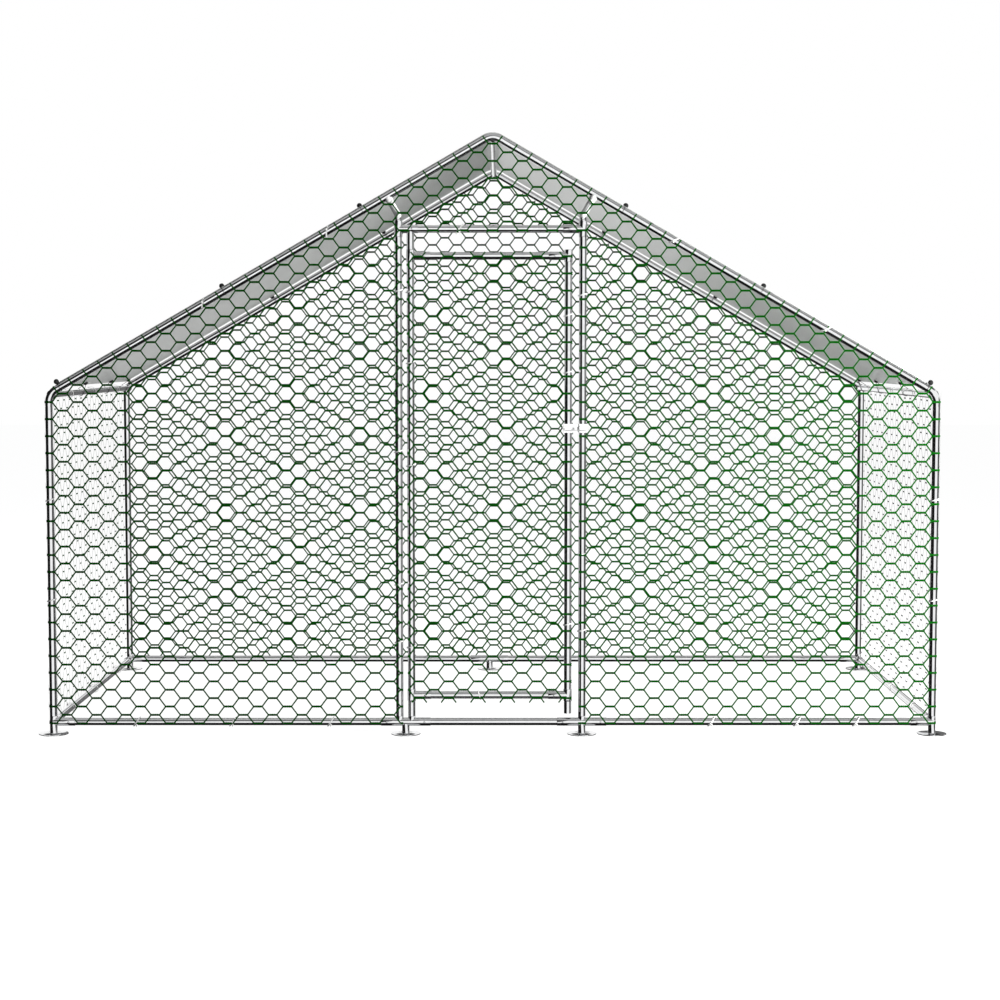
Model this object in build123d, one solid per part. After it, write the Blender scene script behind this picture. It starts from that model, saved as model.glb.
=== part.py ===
from build123d import *
import math
import os

# Walk-in poultry run in millimetres: +Z up, the door side faces -Y, origin on the ground under the middle.

# Frame layout, measured between tube centre lines
FRAME_WIDTH = 2975.0
FRAME_DEPTH = 1460.0
EAVE_HEIGHT = 1152.0
ROOF_PITCH = 30.0
BASE_RAIL_HEIGHT = 42.0
BACK_FOOT_X = -18.0

# Tube and the fittings that join it
TUBE_DIAMETER = 25.0
TUBE_WALL = 1.0
SLIP_CLEARANCE = 0.05
SLEEVE_WALL = 1.45
SEAT_WALL = 4.0
COLLAR_RISE = 6.0
SPIGOT_LENGTH = 45.0
BEND_RADIUS = 50.0
BEND_LEG = 15.0
DEPTH_STUB = 8.0
FITTING_SIDES = 12
SPIGOT_SIDES = 8

# Reach of each kind of sleeve from the fitting's own axis
CORNER_SLEEVE = 73.0
SILL_SLEEVE = 84.0
CENTRE_SLEEVE = 76.0
TEE_SLEEVE = 66.0
HEADER_TEE_HALF = 26.5
DOOR_TEE_HALF = 20.5

# Feet
FOOT_DIAMETER = 100.0
FOOT_THICKNESS = 3.0
FOOT_SIDES = 16

# Doorway and door: uprights across the front, then heights from the roof line down and the base rail up
HINGE_FOOT_X = -294.5
HINGE_PAIR_SPACING = 40.4
LATCH_POST_X = 301.4
STILE_GAP = 48.1
HEADER_DROP = 129.0
KNUCKLE_RISE = 14.5
KNUCKLE_DIAMETER = 20.5
KNUCKLE_FORWARD = 3.5
POST_CAP_RISE = 8.0
BRANCH_DIAMETER = 22.0
SADDLE_DIAMETER = 27.0
SADDLE_RISE = 4.0
DOOR_TOP_DROP = 89.0
DOOR_BOTTOM_RISE = 91.0
LATCH_STILE_RISE = 29.0
HINGE_PLAY = 0.1
HINGE_LIFT = 1.0

# Barrel latch on the door's free stile
LATCH_HEIGHT = 1036.0
LATCH_PLATE_HEIGHT = 29.0
LATCH_PLATE_THICKNESS = 3.0
CLAMP_WALL = 2.95
BOLT_DIAMETER = 8.0
BOLT_CLEARANCE = 0.05
BOLT_INSET = 1.0
BOLT_HOLD = 14.9
BARREL_WALL = 3.45
LATCH_GAP = 8.1
KNOB_INSET = 7.5
KNOB_STEM_DIAMETER = 7.0
KNOB_STEM_LENGTH = 9.0
KNOB_DIAMETER = 11.0
KNOB_LENGTH = 5.0
KNOB_CLEARANCE = 0.1
KEEPER_HALF = 11.0
KEEPER_CLEARANCE = 0.5
STRIKE_GAP = 2.6
STRIKE_PLAY = 0.5
NOTCH_MARGIN = 2.0

# Hexagonal netting: real mesh size, and how many meshes one modelled gap stands for each way
MESH_TWIST = 28.5
MESH_SLANT = 21.1
MESH_ROW = 28.55
GAP_MESH_COUNT = 7
NET_STRAND = 5.0
NET_BORDER = 6.0
NET_THICKNESS = 2.4
LEAST_GAP_SHARE = 0.05

# Cloth roof and its ball bungees
COVER_THICKNESS = 1.2
COVER_FRONT_LAP = 4.0
COVER_BACK_SETBACK = 80.0
COVER_EAVE_SETBACK = 22.0
COVER_CORNER_RISE = 32.0
COVER_CORNER_DEPTH = 46.0
HEM_WIDTH = 12.0
HEM_THICKNESS = 3.4
BALL_DIAMETER = 18.0
BALL_SIDES = 8
BALL_AT_EAVE = 36.0
EAVE_BALL_AT = 38.0
FRONT_BALL_AT_MIDDLE = 681.0
BACK_BALL_AT_MIDDLE = 700.0
BALL_AT_TOP = 1216.0
FRONT_BALL_INSET = 35.0
CORNER_BALL_INSET = 30.0
EAVE_BAYS = 3

# Worked out from the values above
TUBE_R = TUBE_DIAMETER / 2
BORE_R = TUBE_R - TUBE_WALL
SPIGOT_R = BORE_R - SLIP_CLEARANCE
SOCKET_R = TUBE_R + SLIP_CLEARANCE
SLEEVE_R = SOCKET_R + SLEEVE_WALL
CLAMP_R = SOCKET_R + CLAMP_WALL
CORNER_TO_FLAT = math.cos(math.pi / FITTING_SIDES)
SEAT = SLEEVE_R + SEAT_WALL
POST_SEAT = BASE_RAIL_HEIGHT + SLEEVE_R + COLLAR_RISE
DEPTH_SEAT = TUBE_R + DEPTH_STUB
HALF_WIDTH = FRAME_WIDTH / 2
HALF_DEPTH = FRAME_DEPTH / 2
FRONT = -HALF_DEPTH
BACK = HALF_DEPTH
SLOPE = math.radians(ROOF_PITCH)
APEX_HEIGHT = EAVE_HEIGHT + HALF_WIDTH * math.tan(SLOPE)
HINGE_POST_X = HINGE_FOOT_X - HINGE_PAIR_SPACING / 2
HINGE_STILE_X = HINGE_FOOT_X + HINGE_PAIR_SPACING / 2
LATCH_STILE_X = LATCH_POST_X - STILE_GAP
HEADER_HEIGHT = APEX_HEIGHT - abs(HINGE_POST_X) * math.tan(SLOPE) - HEADER_DROP
POST_TOP = HEADER_HEIGHT + HEADER_TEE_HALF + SEAT_WALL
DOOR_TOP_HEIGHT = HEADER_HEIGHT - DOOR_TOP_DROP
DOOR_BOTTOM_HEIGHT = BASE_RAIL_HEIGHT + DOOR_BOTTOM_RISE
BOLT_R = BOLT_DIAMETER / 2
BARREL_R = BOLT_R + BOLT_CLEARANCE + BARREL_WALL
BARREL_START = LATCH_STILE_X - CLAMP_R
BARREL_END = LATCH_POST_X - KEEPER_HALF - LATCH_GAP
BOLT_TRAVEL = BOLT_INSET + LATCH_GAP + BOLT_HOLD
KNOB_X = BARREL_START + KNOB_INSET
LATCH_PLATE_BACK = FRONT - CLAMP_R + LATCH_PLATE_THICKNESS / 3
BOLT_Y = LATCH_PLATE_BACK - BARREL_R
UP = Vector(0, 0, 1)
DOWN = Vector(0, 0, -1)
RIGHT = Vector(1, 0, 0)
LEFT = Vector(-1, 0, 0)
INTO = Vector(0, 1, 0)
OUT = Vector(0, -1, 0)


def roof_height(x):
    """Height of the rafter centre line above a place across the front."""
    return APEX_HEIGHT - abs(x) * math.tan(SLOPE)


def up_slope(side):
    """Unit vector up the rafter on the left (-1) or right (+1) slope."""
    return Vector(-side * math.cos(SLOPE), 0, math.sin(SLOPE))


def off_slope(side):
    """Unit vector square to the rafter, out of the roof, on the left (-1) or right (+1) slope."""
    return Vector(side * math.sin(SLOPE), 0, math.cos(SLOPE))


def rod(start, end, radius):
    """Solid round bar between two points."""
    run = Vector(end) - Vector(start)
    place = Plane(origin=start, z_dir=run)
    return place * Cylinder(radius, run.length, align=(Align.CENTER, Align.CENTER, Align.MIN))


def faceted(place, flat_radius, sides):
    """Regular outline on a plane, one flat square to the plane's own x direction."""
    return place * RegularPolygon(flat_radius, sides, major_radius=False, rotation=180 / sides)


def prism(start, end, flat_radius, sides=FITTING_SIDES):
    """Many-sided bar between two points, its flats square to the frame."""
    run = Vector(end) - Vector(start)
    facing = RIGHT if abs(run.Y) > abs(run.X) + abs(run.Z) else INTO
    place = Plane(origin=start, x_dir=facing, z_dir=run)
    return extrude(faceted(place, flat_radius, sides), run.length, run)


def bent_bar(points):
    """Many-sided bar of the tube's thickness, mitred along a line of points in an upright plane."""
    place = Plane(origin=points[0], x_dir=INTO, z_dir=points[1] - points[0])
    section = faceted(place, TUBE_R * CORNER_TO_FLAT, FITTING_SIDES)
    return sweep(section, Polyline(*points), transition=Transition.RIGHT)


def tube(start, end):
    """Length of frame tube between two points."""
    return rod(start, end, TUBE_R) - rod(start, end, BORE_R)


def spigot(seat, direction):
    """Reduced end that plugs into a tube whose end rests at the seat."""
    flat_radius = SPIGOT_R * math.cos(math.pi / SPIGOT_SIDES)
    return prism(seat, seat + direction * SPIGOT_LENGTH, flat_radius, SPIGOT_SIDES)


def half_turn(leg_a, leg_b):
    """Half the angle through which a bend turns, in radians."""
    return math.radians(180 - leg_a.get_angle(leg_b)) / 2


def bend_start(leg_a, leg_b):
    """Distance from a bend's corner to where its legs start to turn."""
    return BEND_RADIUS * math.tan(half_turn(leg_a, leg_b))


def bend_seat(leg_a, leg_b):
    """Distance from a bend's corner to the end of the tube seated on its leg."""
    return bend_start(leg_a, leg_b) + BEND_LEG


def bend_middle(corner, leg_a, leg_b):
    """Middle of the bent centre line."""
    rise = BEND_RADIUS / math.cos(half_turn(leg_a, leg_b)) - BEND_RADIUS
    return corner + (leg_a + leg_b).normalized() * rise


def elbow(corner, leg_a, leg_b, depth):
    """Bent fitting with a reduced end on each leg and a stub for the rail that runs in depth."""
    kink = bend_start(leg_a, leg_b)
    seat_a = corner + leg_a * bend_seat(leg_a, leg_b)
    seat_b = corner + leg_b * bend_seat(leg_a, leg_b)
    middle = bend_middle(corner, leg_a, leg_b)
    seat_depth = middle + depth * DEPTH_SEAT
    body = bent_bar([seat_a, corner + leg_a * kink, middle, corner + leg_b * kink, seat_b])
    body += prism(middle, seat_depth, TUBE_R * CORNER_TO_FLAT)
    return body + spigot(seat_a, leg_a) + spigot(seat_b, leg_b) + spigot(seat_depth, depth)


def sleeve(axis_point, direction, reach):
    """Blind socket: its outside bar, and the bore that the tube fills, as a pair."""
    axis_point = Vector(axis_point)
    mouth = axis_point + direction * reach
    return prism(axis_point, mouth, SLEEVE_R), prism(axis_point + direction * SEAT, mouth, SOCKET_R)


def fitting(solids, bores):
    """Fuse a fitting's solids, then open its bores."""
    body = solids[0]
    for solid in solids[1:]:
        body += solid
    for bore in bores:
        body -= bore
    return body


def base_foot(x, y, arms, reach, posts, hinges=()):
    """Foot fitting: disc, stub, a base rail sleeve along each arm, post spigots and round hinge pins."""
    disc = prism((x, y, 0), (x, y, FOOT_THICKNESS), FOOT_DIAMETER / 2, FOOT_SIDES)
    solids = [disc, prism((x, y, FOOT_THICKNESS), (x, y, BASE_RAIL_HEIGHT), TUBE_R * CORNER_TO_FLAT)]
    bores = []
    for arm in arms:
        outside, bore = sleeve((x, y, BASE_RAIL_HEIGHT), arm, reach)
        solids.append(outside)
        bores.append(bore)
    for place in (*posts, *hinges):
        solids.append(prism((place, y, BASE_RAIL_HEIGHT), (place, y, POST_SEAT), TUBE_R))
    body = fitting(solids, bores)
    for place in posts:
        body += spigot(Vector(place, y, POST_SEAT), UP)
    for place in hinges:
        body += rod((place, y, POST_SEAT), (place, y, POST_SEAT + SPIGOT_LENGTH), SPIGOT_R)
    return body


def tee(x, z, side, half_height):
    """Tee that slides on an upright of the front, with a socket towards side for a cross rail."""
    outside, socket = sleeve((x, FRONT, z), RIGHT * side, TEE_SLEEVE)
    low = (x, FRONT, z - half_height)
    high = (x, FRONT, z + half_height)
    return fitting([prism(low, high, SLEEVE_R), outside], [prism(low, high, SOCKET_R), socket])


def hinge_header_tee():
    """Header tee on the hinge side, with the upper hinge pin welded under its socket."""
    header_bore = sleeve((HINGE_POST_X, FRONT, HEADER_HEIGHT), RIGHT, TEE_SLEEVE)[1]
    root = Vector(HINGE_STILE_X, FRONT, HEADER_HEIGHT)
    pin = rod(root, root + DOWN * (SLEEVE_R + HINGE_LIFT + SPIGOT_LENGTH), SPIGOT_R)
    return tee(HINGE_POST_X, HEADER_HEIGHT, 1, HEADER_TEE_HALF) + (pin - header_bore)


def rafter_tee(x, side):
    """Spigot and cap for the top of a door post, a ball knuckle, and a branch saddled under the rafter."""
    seat = Vector(x, FRONT, POST_TOP)
    knuckle = seat + UP * KNUCKLE_RISE
    reach = (roof_height(x) - knuckle.Z) * math.cos(SLOPE)
    on_rafter = knuckle + off_slope(side) * reach
    along = up_slope(side) * TUBE_DIAMETER
    body = prism(seat, seat + UP * POST_CAP_RISE, TUBE_R * CORNER_TO_FLAT)
    body += ball(knuckle - INTO * KNUCKLE_FORWARD, side, KNUCKLE_DIAMETER)
    body += prism(knuckle, on_rafter, BRANCH_DIAMETER / 2)
    saddle_foot = on_rafter - off_slope(side) * (TUBE_R + SADDLE_RISE)
    body += prism(saddle_foot, on_rafter, SADDLE_DIAMETER / 2)
    return body - rod(on_rafter - along, on_rafter + along, TUBE_R) + spigot(seat, DOWN)


def clip(points, normal, limit):
    """The part of a convex outline on the near side of a line."""
    kept = []
    for here, after in zip(points, points[1:] + points[:1]):
        depth_here = here[0] * normal[0] + here[1] * normal[1] - limit
        depth_after = after[0] * normal[0] + after[1] * normal[1] - limit
        if depth_here <= 0:
            kept.append(here)
        if depth_here * depth_after < 0:
            share = depth_here / (depth_here - depth_after)
            kept.append(tuple(a + (b - a) * share for a, b in zip(here, after)))
    return kept


def outline_area(points):
    """Area inside a closed outline, by the shoelace rule."""
    pairs = zip(points, points[1:] + points[:1])
    return abs(sum(a[0] * b[1] - b[0] * a[1] for a, b in pairs)) / 2


def shrink(points, margin):
    """A convex outline, listed anticlockwise, moved in by a margin on every side."""
    inner = list(points)
    for here, after in zip(points, points[1:] + points[:1]):
        run = Vector(after[0] - here[0], after[1] - here[1])
        normal = (run.Y / run.length, -run.X / run.length)
        inner = clip(inner, normal, here[0] * normal[0] + here[1] * normal[1] - margin)
    return inner


def mesh_cell(u, v):
    """One hexagonal mesh about a centre, its twists level, drawn in by half a strand."""
    half_twist = GAP_MESH_COUNT * MESH_TWIST / 2
    point = half_twist + GAP_MESH_COUNT * MESH_SLANT
    row = GAP_MESH_COUNT * MESH_ROW
    upper = [(point, 0), (half_twist, row), (-half_twist, row)]
    corners = upper + [(-du, -dv) for du, dv in upper]
    return shrink([(u + du, v + dv) for du, dv in corners], NET_STRAND / 2)


def net_gaps(outline):
    """Hexagonal gaps of a netting panel, cut off at its border."""
    inside = shrink(outline, NET_BORDER)
    pitch = 2 * GAP_MESH_COUNT * (MESH_TWIST + MESH_SLANT)
    row = GAP_MESH_COUNT * MESH_ROW
    least = LEAST_GAP_SHARE * pitch * row
    across = [p[0] / pitch for p in outline]
    upward = [p[1] / row for p in outline]
    gaps = []
    for j in range(math.floor(min(upward)) - 1, math.ceil(max(upward)) + 2):
        for i in range(math.floor(min(across)) - 1, math.ceil(max(across)) + 2):
            gap = mesh_cell((i + (j % 2) / 2) * pitch, j * row)
            for here, after in zip(inside, inside[1:] + inside[:1]):
                run = Vector(after[0] - here[0], after[1] - here[1])
                normal = (run.Y, -run.X)
                gap = clip(gap, normal, here[0] * normal[0] + here[1] * normal[1])
            if len(gap) > 2 and outline_area(gap) > least:
                gaps.append(gap)
    return gaps


def netting(outline, place):
    """Flat panel of netting on a plane, one holed face thickened outwards."""
    rim = Wire.make_polygon([Vector(*p, 0) for p in outline])
    holes = [Wire.make_polygon([Vector(*p, 0) for p in gap]) for gap in net_gaps(outline)]
    return place * extrude(Face(rim, holes), NET_THICKNESS, (0, 0, 1))


def latch_notch(x, side):
    """Room cut in a panel of netting for the clamp on an upright."""
    reach = CLAMP_R + NOTCH_MARGIN
    height = LATCH_PLATE_HEIGHT + 2 * NOTCH_MARGIN
    room = Box(reach + NOTCH_MARGIN, 4 * CLAMP_R, height, align=(Align.MIN, Align.CENTER, Align.CENTER))
    start = x - NOTCH_MARGIN if side > 0 else x - reach
    return Pos(start, FRONT, LATCH_HEIGHT) * room


def front_plane():
    """Outer face of the front sleeves, which the front netting lies on."""
    return Plane(origin=(0, FRONT - SLEEVE_R, 0), x_dir=(1, 0, 0), z_dir=(0, -1, 0))


def front_side_net(post_x, side):
    """Front netting between a corner post and the door post on that side, under the rafter."""
    corner_x = side * HALF_WIDTH
    left, right = sorted((corner_x, post_x))
    outline = [(left, BASE_RAIL_HEIGHT), (right, BASE_RAIL_HEIGHT)]
    outline += [(right, roof_height(right)), (left, roof_height(left))]
    return netting(outline, front_plane())


def gable_net():
    """Front netting over the door header, up to the apex."""
    outline = [(HINGE_POST_X, HEADER_HEIGHT), (LATCH_POST_X, HEADER_HEIGHT)]
    outline += [(LATCH_POST_X, roof_height(LATCH_POST_X)), (0, APEX_HEIGHT)]
    outline += [(HINGE_POST_X, roof_height(HINGE_POST_X))]
    return netting(outline, front_plane())


def door_net():
    """Netting on the door frame, notched round the latch clamp."""
    outline = [(HINGE_STILE_X, DOOR_BOTTOM_HEIGHT), (LATCH_STILE_X, DOOR_BOTTOM_HEIGHT)]
    outline += [(LATCH_STILE_X, DOOR_TOP_HEIGHT), (HINGE_STILE_X, DOOR_TOP_HEIGHT)]
    return netting(outline, front_plane()) - latch_notch(LATCH_STILE_X, -1)


def back_net():
    """Netting over the whole back gable."""
    outline = [(-HALF_WIDTH, BASE_RAIL_HEIGHT), (HALF_WIDTH, BASE_RAIL_HEIGHT)]
    outline += [(HALF_WIDTH, EAVE_HEIGHT), (0, APEX_HEIGHT), (-HALF_WIDTH, EAVE_HEIGHT)]
    return netting(outline, Plane(origin=(0, BACK + SLEEVE_R, 0), x_dir=(-1, 0, 0), z_dir=(0, 1, 0)))


def side_net(side):
    """Netting between the posts of one side, from base rail to eave rail."""
    outline = [(FRONT, BASE_RAIL_HEIGHT), (BACK, BASE_RAIL_HEIGHT)]
    outline += [(BACK, eave_rail(side).Z), (FRONT, eave_rail(side).Z)]
    wall = Plane(origin=(side * (HALF_WIDTH + SLEEVE_R), 0, 0), x_dir=(0, side, 0), z_dir=(side, 0, 0))
    return netting(outline, wall)


def eave_rail(side):
    """Where the eave rail's centre line crosses the front plane."""
    corner = Vector(side * HALF_WIDTH, FRONT, EAVE_HEIGHT)
    return bend_middle(corner, DOWN, up_slope(side))


def roof_band(inner, outer, y_start, y_end):
    """Layer of cloth over both slopes, between two distances from the rafter centre line."""
    apex = Vector(0, 0, APEX_HEIGHT)
    centre = apex + DOWN * (BEND_RADIUS / math.cos(SLOPE))
    reach = HALF_WIDTH / math.cos(SLOPE) - COVER_EAVE_SETBACK
    wires = []
    for offset in (inner, outer):
        ends = [apex - up_slope(side) * reach + off_slope(side) * offset for side in (-1, 1)]
        ridge = [centre + off_slope(side) * (BEND_RADIUS + offset) for side in (-1, 1)]
        top = centre + UP * (BEND_RADIUS + offset)
        wires.append((ends, ridge, top))
    (in_ends, in_ridge, in_top), (out_ends, out_ridge, out_top) = wires
    edges = [
        Line(in_ends[0], in_ridge[0]),
        ThreePointArc(in_ridge[0], in_top, in_ridge[1]),
        Line(in_ridge[1], in_ends[1]),
        Line(in_ends[1], out_ends[1]),
        Line(out_ends[1], out_ridge[1]),
        ThreePointArc(out_ridge[1], out_top, out_ridge[0]),
        Line(out_ridge[0], out_ends[0]),
        Line(out_ends[0], in_ends[0]),
    ]
    section = Face(Wire(edges))
    return Pos(0, y_start, 0) * extrude(section, y_end - y_start, (0, 1, 0))


def corner_cut(side, front_edge):
    """Room for a corner ball: the slanting cut at a front corner of the cover."""
    eave = Vector(side * HALF_WIDTH, 0, EAVE_HEIGHT)
    inner = COVER_EAVE_SETBACK + COVER_CORNER_RISE
    behind = front_edge + COVER_CORNER_DEPTH
    ahead = front_edge - HEM_WIDTH
    outline = ((inner, front_edge), (COVER_EAVE_SETBACK, behind), (0, behind), (0, ahead), (inner, ahead))
    points = [eave + up_slope(side) * along + INTO * y for along, y in outline]
    return extrude(Face(Wire.make_polygon(points)), 2 * TUBE_DIAMETER, off_slope(side))


def roof_cover():
    """Cloth laid on front rafters and ridge, short of the eaves and back rafters, hemmed front and back."""
    front_edge = FRONT - COVER_FRONT_LAP
    back_edge = BACK - COVER_BACK_SETBACK
    hem_top = TUBE_R + HEM_THICKNESS
    sheet = roof_band(TUBE_R, TUBE_R + COVER_THICKNESS, front_edge, back_edge)
    front_hem = roof_band(TUBE_R, hem_top, front_edge, front_edge + HEM_WIDTH)
    back_hem = roof_band(TUBE_R, hem_top, back_edge - HEM_WIDTH, back_edge)
    cover = sheet + front_hem + back_hem
    return cover - corner_cut(-1, front_edge) - corner_cut(1, front_edge)


def ball(centre, side, diameter):
    """Ball worked with flats that face along, across and out of its slope."""
    frame = ((off_slope(side), INTO), (up_slope(side), INTO), (INTO, up_slope(side)))
    radius = diameter / 2
    bars = []
    for axis, facing in frame:
        place = Plane(origin=centre - axis * radius, x_dir=facing, z_dir=axis)
        bars.append(extrude(faceted(place, radius, BALL_SIDES), diameter, axis))
    return bars[0] & bars[1] & bars[2]


def clamped_ball(centre, side):
    """Two half balls drawn tight on both faces of the cover."""
    whole = ball(centre, side, BALL_DIAMETER)
    halves = []
    for way in (off_slope(side), off_slope(side) * -1):
        face = Plane(origin=centre + way * (COVER_THICKNESS / 2), z_dir=way)
        halves.append(split(whole, bisect_by=face, keep=Keep.TOP))
    return halves


def bungee_balls():
    """Balls on the cover by the front rafters, on the front corners, at its back hem and at its eaves."""
    radius = BALL_DIAMETER / 2
    back_edge = BACK - COVER_BACK_SETBACK
    bays = [FRONT + FRAME_DEPTH * bay / EAVE_BAYS for bay in range(1, EAVE_BAYS)]
    balls = []
    for side in (-1, 1):
        up = up_slope(side)
        eave = Vector(side * HALF_WIDTH, 0, EAVE_HEIGHT)
        on_sheet = eave + off_slope(side) * (TUBE_R + COVER_THICKNESS + radius)
        on_elbow = eave + off_slope(side) * (TUBE_R * CORNER_TO_FLAT + radius)
        in_sheet = eave + off_slope(side) * (TUBE_R + COVER_THICKNESS / 2)
        spots = [on_elbow + up * BALL_AT_EAVE + INTO * FRONT]
        for along in (FRONT_BALL_AT_MIDDLE, BALL_AT_TOP):
            spots.append(on_sheet + up * along + INTO * (FRONT + FRONT_BALL_INSET))
        for along in (BACK_BALL_AT_MIDDLE, BALL_AT_TOP):
            spots.append(in_sheet + up * along + INTO * (back_edge + radius))
        balls += [ball(spot, side, BALL_DIAMETER) for spot in spots]
        for y in (*bays, back_edge - CORNER_BALL_INSET):
            balls += clamped_ball(in_sheet + up * EAVE_BALL_AT + INTO * y, side)
    return Compound(children=balls)


def clamp_ring(x):
    """Ring that clamps a latch piece to an upright, and the bore for the upright."""
    low = (x, FRONT, LATCH_HEIGHT - LATCH_PLATE_HEIGHT / 2)
    high = (x, FRONT, LATCH_HEIGHT + LATCH_PLATE_HEIGHT / 2)
    return prism(low, high, CLAMP_R), prism(low, high, SOCKET_R)


def latch_plate(x_start, x_end, y_back):
    """Flat plate of the latch, its back face at y_back."""
    size = (x_end - x_start, LATCH_PLATE_THICKNESS, LATCH_PLATE_HEIGHT)
    return Pos(x_start, y_back, LATCH_HEIGHT) * Box(*size, align=(Align.MIN, Align.MAX, Align.CENTER))


def on_bolt_line(x):
    """Point on the bolt's centre line."""
    return Vector(x, BOLT_Y, LATCH_HEIGHT)


def latch_barrel():
    """Barrel that guides the bolt, its plate and the clamp on the door's free stile."""
    ring, ring_bore = clamp_ring(LATCH_STILE_X)
    barrel = prism(on_bolt_line(BARREL_START), on_bolt_line(BARREL_END), BARREL_R)
    guide = prism(on_bolt_line(BARREL_START), on_bolt_line(BARREL_END), BOLT_R + BOLT_CLEARANCE)
    width = KNOB_STEM_DIAMETER + 2 * KNOB_CLEARANCE
    slot = Box(BOLT_TRAVEL + width, 2 * BARREL_R, width, align=(Align.MIN, Align.MAX, Align.CENTER))
    slot = Pos(*on_bolt_line(KNOB_X - width / 2)) * slot
    plate = latch_plate(BARREL_START, BARREL_END, LATCH_PLATE_BACK)
    return fitting([ring, plate, barrel], [ring_bore, guide, slot])


def latch_bolt():
    """Bolt with its knob, drawn back so that the door is free."""
    bolt = prism(on_bolt_line(BARREL_START), on_bolt_line(BARREL_END - BOLT_INSET), BOLT_R)
    root = on_bolt_line(KNOB_X)
    neck = root + OUT * (BARREL_R + KNOB_STEM_LENGTH)
    stem = prism(root, neck, KNOB_STEM_DIAMETER / 2 * CORNER_TO_FLAT)
    return bolt + stem + prism(neck, neck + OUT * KNOB_LENGTH, KNOB_DIAMETER / 2)


def latch_keeper():
    """Loop for the bolt and strike for the barrel plate, clamped on the latch-side door post."""
    start = LATCH_POST_X - KEEPER_HALF
    end = LATCH_POST_X + KEEPER_HALF
    ring, ring_bore = clamp_ring(LATCH_POST_X)
    loop = prism(on_bolt_line(start), on_bolt_line(end), BARREL_R)
    mouth = prism(on_bolt_line(start), on_bolt_line(end), BOLT_R + KEEPER_CLEARANCE)
    strike_back = LATCH_PLATE_BACK + STRIKE_PLAY + LATCH_PLATE_THICKNESS
    strike = latch_plate(LATCH_STILE_X + CLAMP_R + STRIKE_GAP, LATCH_POST_X, strike_back)
    return fitting([ring, latch_plate(start, end, LATCH_PLATE_BACK), loop, strike], [ring_bore, mouth])


def corner_parts():
    """Posts, feet and eave elbows at the four corners."""
    parts = {}
    for depth_name, y, inward in (("front", FRONT, INTO), ("back", BACK, OUT)):
        for side_name, side in (("left", -1), ("right", 1)):
            name = f"{depth_name}_{side_name}"
            x = side * HALF_WIDTH
            corner = Vector(x, y, EAVE_HEIGHT)
            post_top = EAVE_HEIGHT - bend_seat(DOWN, up_slope(side))
            parts[f"{name}_post"] = tube((x, y, POST_SEAT), (x, y, post_top))
            parts[f"{name}_foot"] = base_foot(x, y, [RIGHT * -side, inward], CORNER_SLEEVE, [x])
            parts[f"{name}_eave_elbow"] = elbow(corner, DOWN, up_slope(side), inward)
    return parts


def roof_parts():
    """Apex elbows, rafters, ridge pole and eave rails."""
    parts = {}
    down_left = up_slope(-1) * -1
    down_right = up_slope(1) * -1
    for depth_name, y, inward in (("front", FRONT, INTO), ("back", BACK, OUT)):
        apex = Vector(0, y, APEX_HEIGHT)
        parts[f"{depth_name}_apex_elbow"] = elbow(apex, down_left, down_right, inward)
        for side_name, side in (("left", -1), ("right", 1)):
            eave = Vector(side * HALF_WIDTH, y, EAVE_HEIGHT)
            low = eave + up_slope(side) * bend_seat(DOWN, up_slope(side))
            high = apex - up_slope(side) * bend_seat(down_left, down_right)
            parts[f"{depth_name}_{side_name}_rafter"] = tube(low, high)
    ridge = bend_middle(Vector(0, FRONT, APEX_HEIGHT), down_left, down_right)
    run = INTO * (FRAME_DEPTH - 2 * DEPTH_SEAT)
    parts["ridge_pole"] = tube(ridge + INTO * DEPTH_SEAT, ridge + INTO * DEPTH_SEAT + run)
    for side_name, side in (("left", -1), ("right", 1)):
        start = eave_rail(side) + INTO * DEPTH_SEAT
        parts[f"{side_name}_eave_rail"] = tube(start, start + run)
    return parts


def base_parts():
    """Base rails and the feet between the corners."""
    z = BASE_RAIL_HEIGHT
    parts = {}
    for side_name, x in (("left", -HALF_WIDTH), ("right", HALF_WIDTH)):
        parts[f"{side_name}_base_rail"] = tube((x, FRONT + SEAT, z), (x, BACK - SEAT, z))
    front_feet = (-HALF_WIDTH, HINGE_FOOT_X, LATCH_POST_X, HALF_WIDTH)
    front_names = ("front_left_base_rail", "door_sill_rail", "front_right_base_rail")
    for name, left, right in zip(front_names, front_feet, front_feet[1:]):
        parts[name] = tube((left + SEAT, FRONT, z), (right - SEAT, FRONT, z))
    back_feet = (-HALF_WIDTH, BACK_FOOT_X, HALF_WIDTH)
    for name, left, right in zip(("back_left_base_rail", "back_right_base_rail"), back_feet, back_feet[1:]):
        parts[name] = tube((left + SEAT, BACK, z), (right - SEAT, BACK, z))
    both_ways = [LEFT, RIGHT]
    hinge_pair = ([HINGE_POST_X], [HINGE_STILE_X])
    parts["hinge_side_foot"] = base_foot(HINGE_FOOT_X, FRONT, both_ways, SILL_SLEEVE, *hinge_pair)
    parts["latch_side_foot"] = base_foot(LATCH_POST_X, FRONT, both_ways, SILL_SLEEVE, [LATCH_POST_X])
    parts["back_centre_foot"] = base_foot(BACK_FOOT_X, BACK, both_ways, CENTRE_SLEEVE, [])
    return parts


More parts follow.
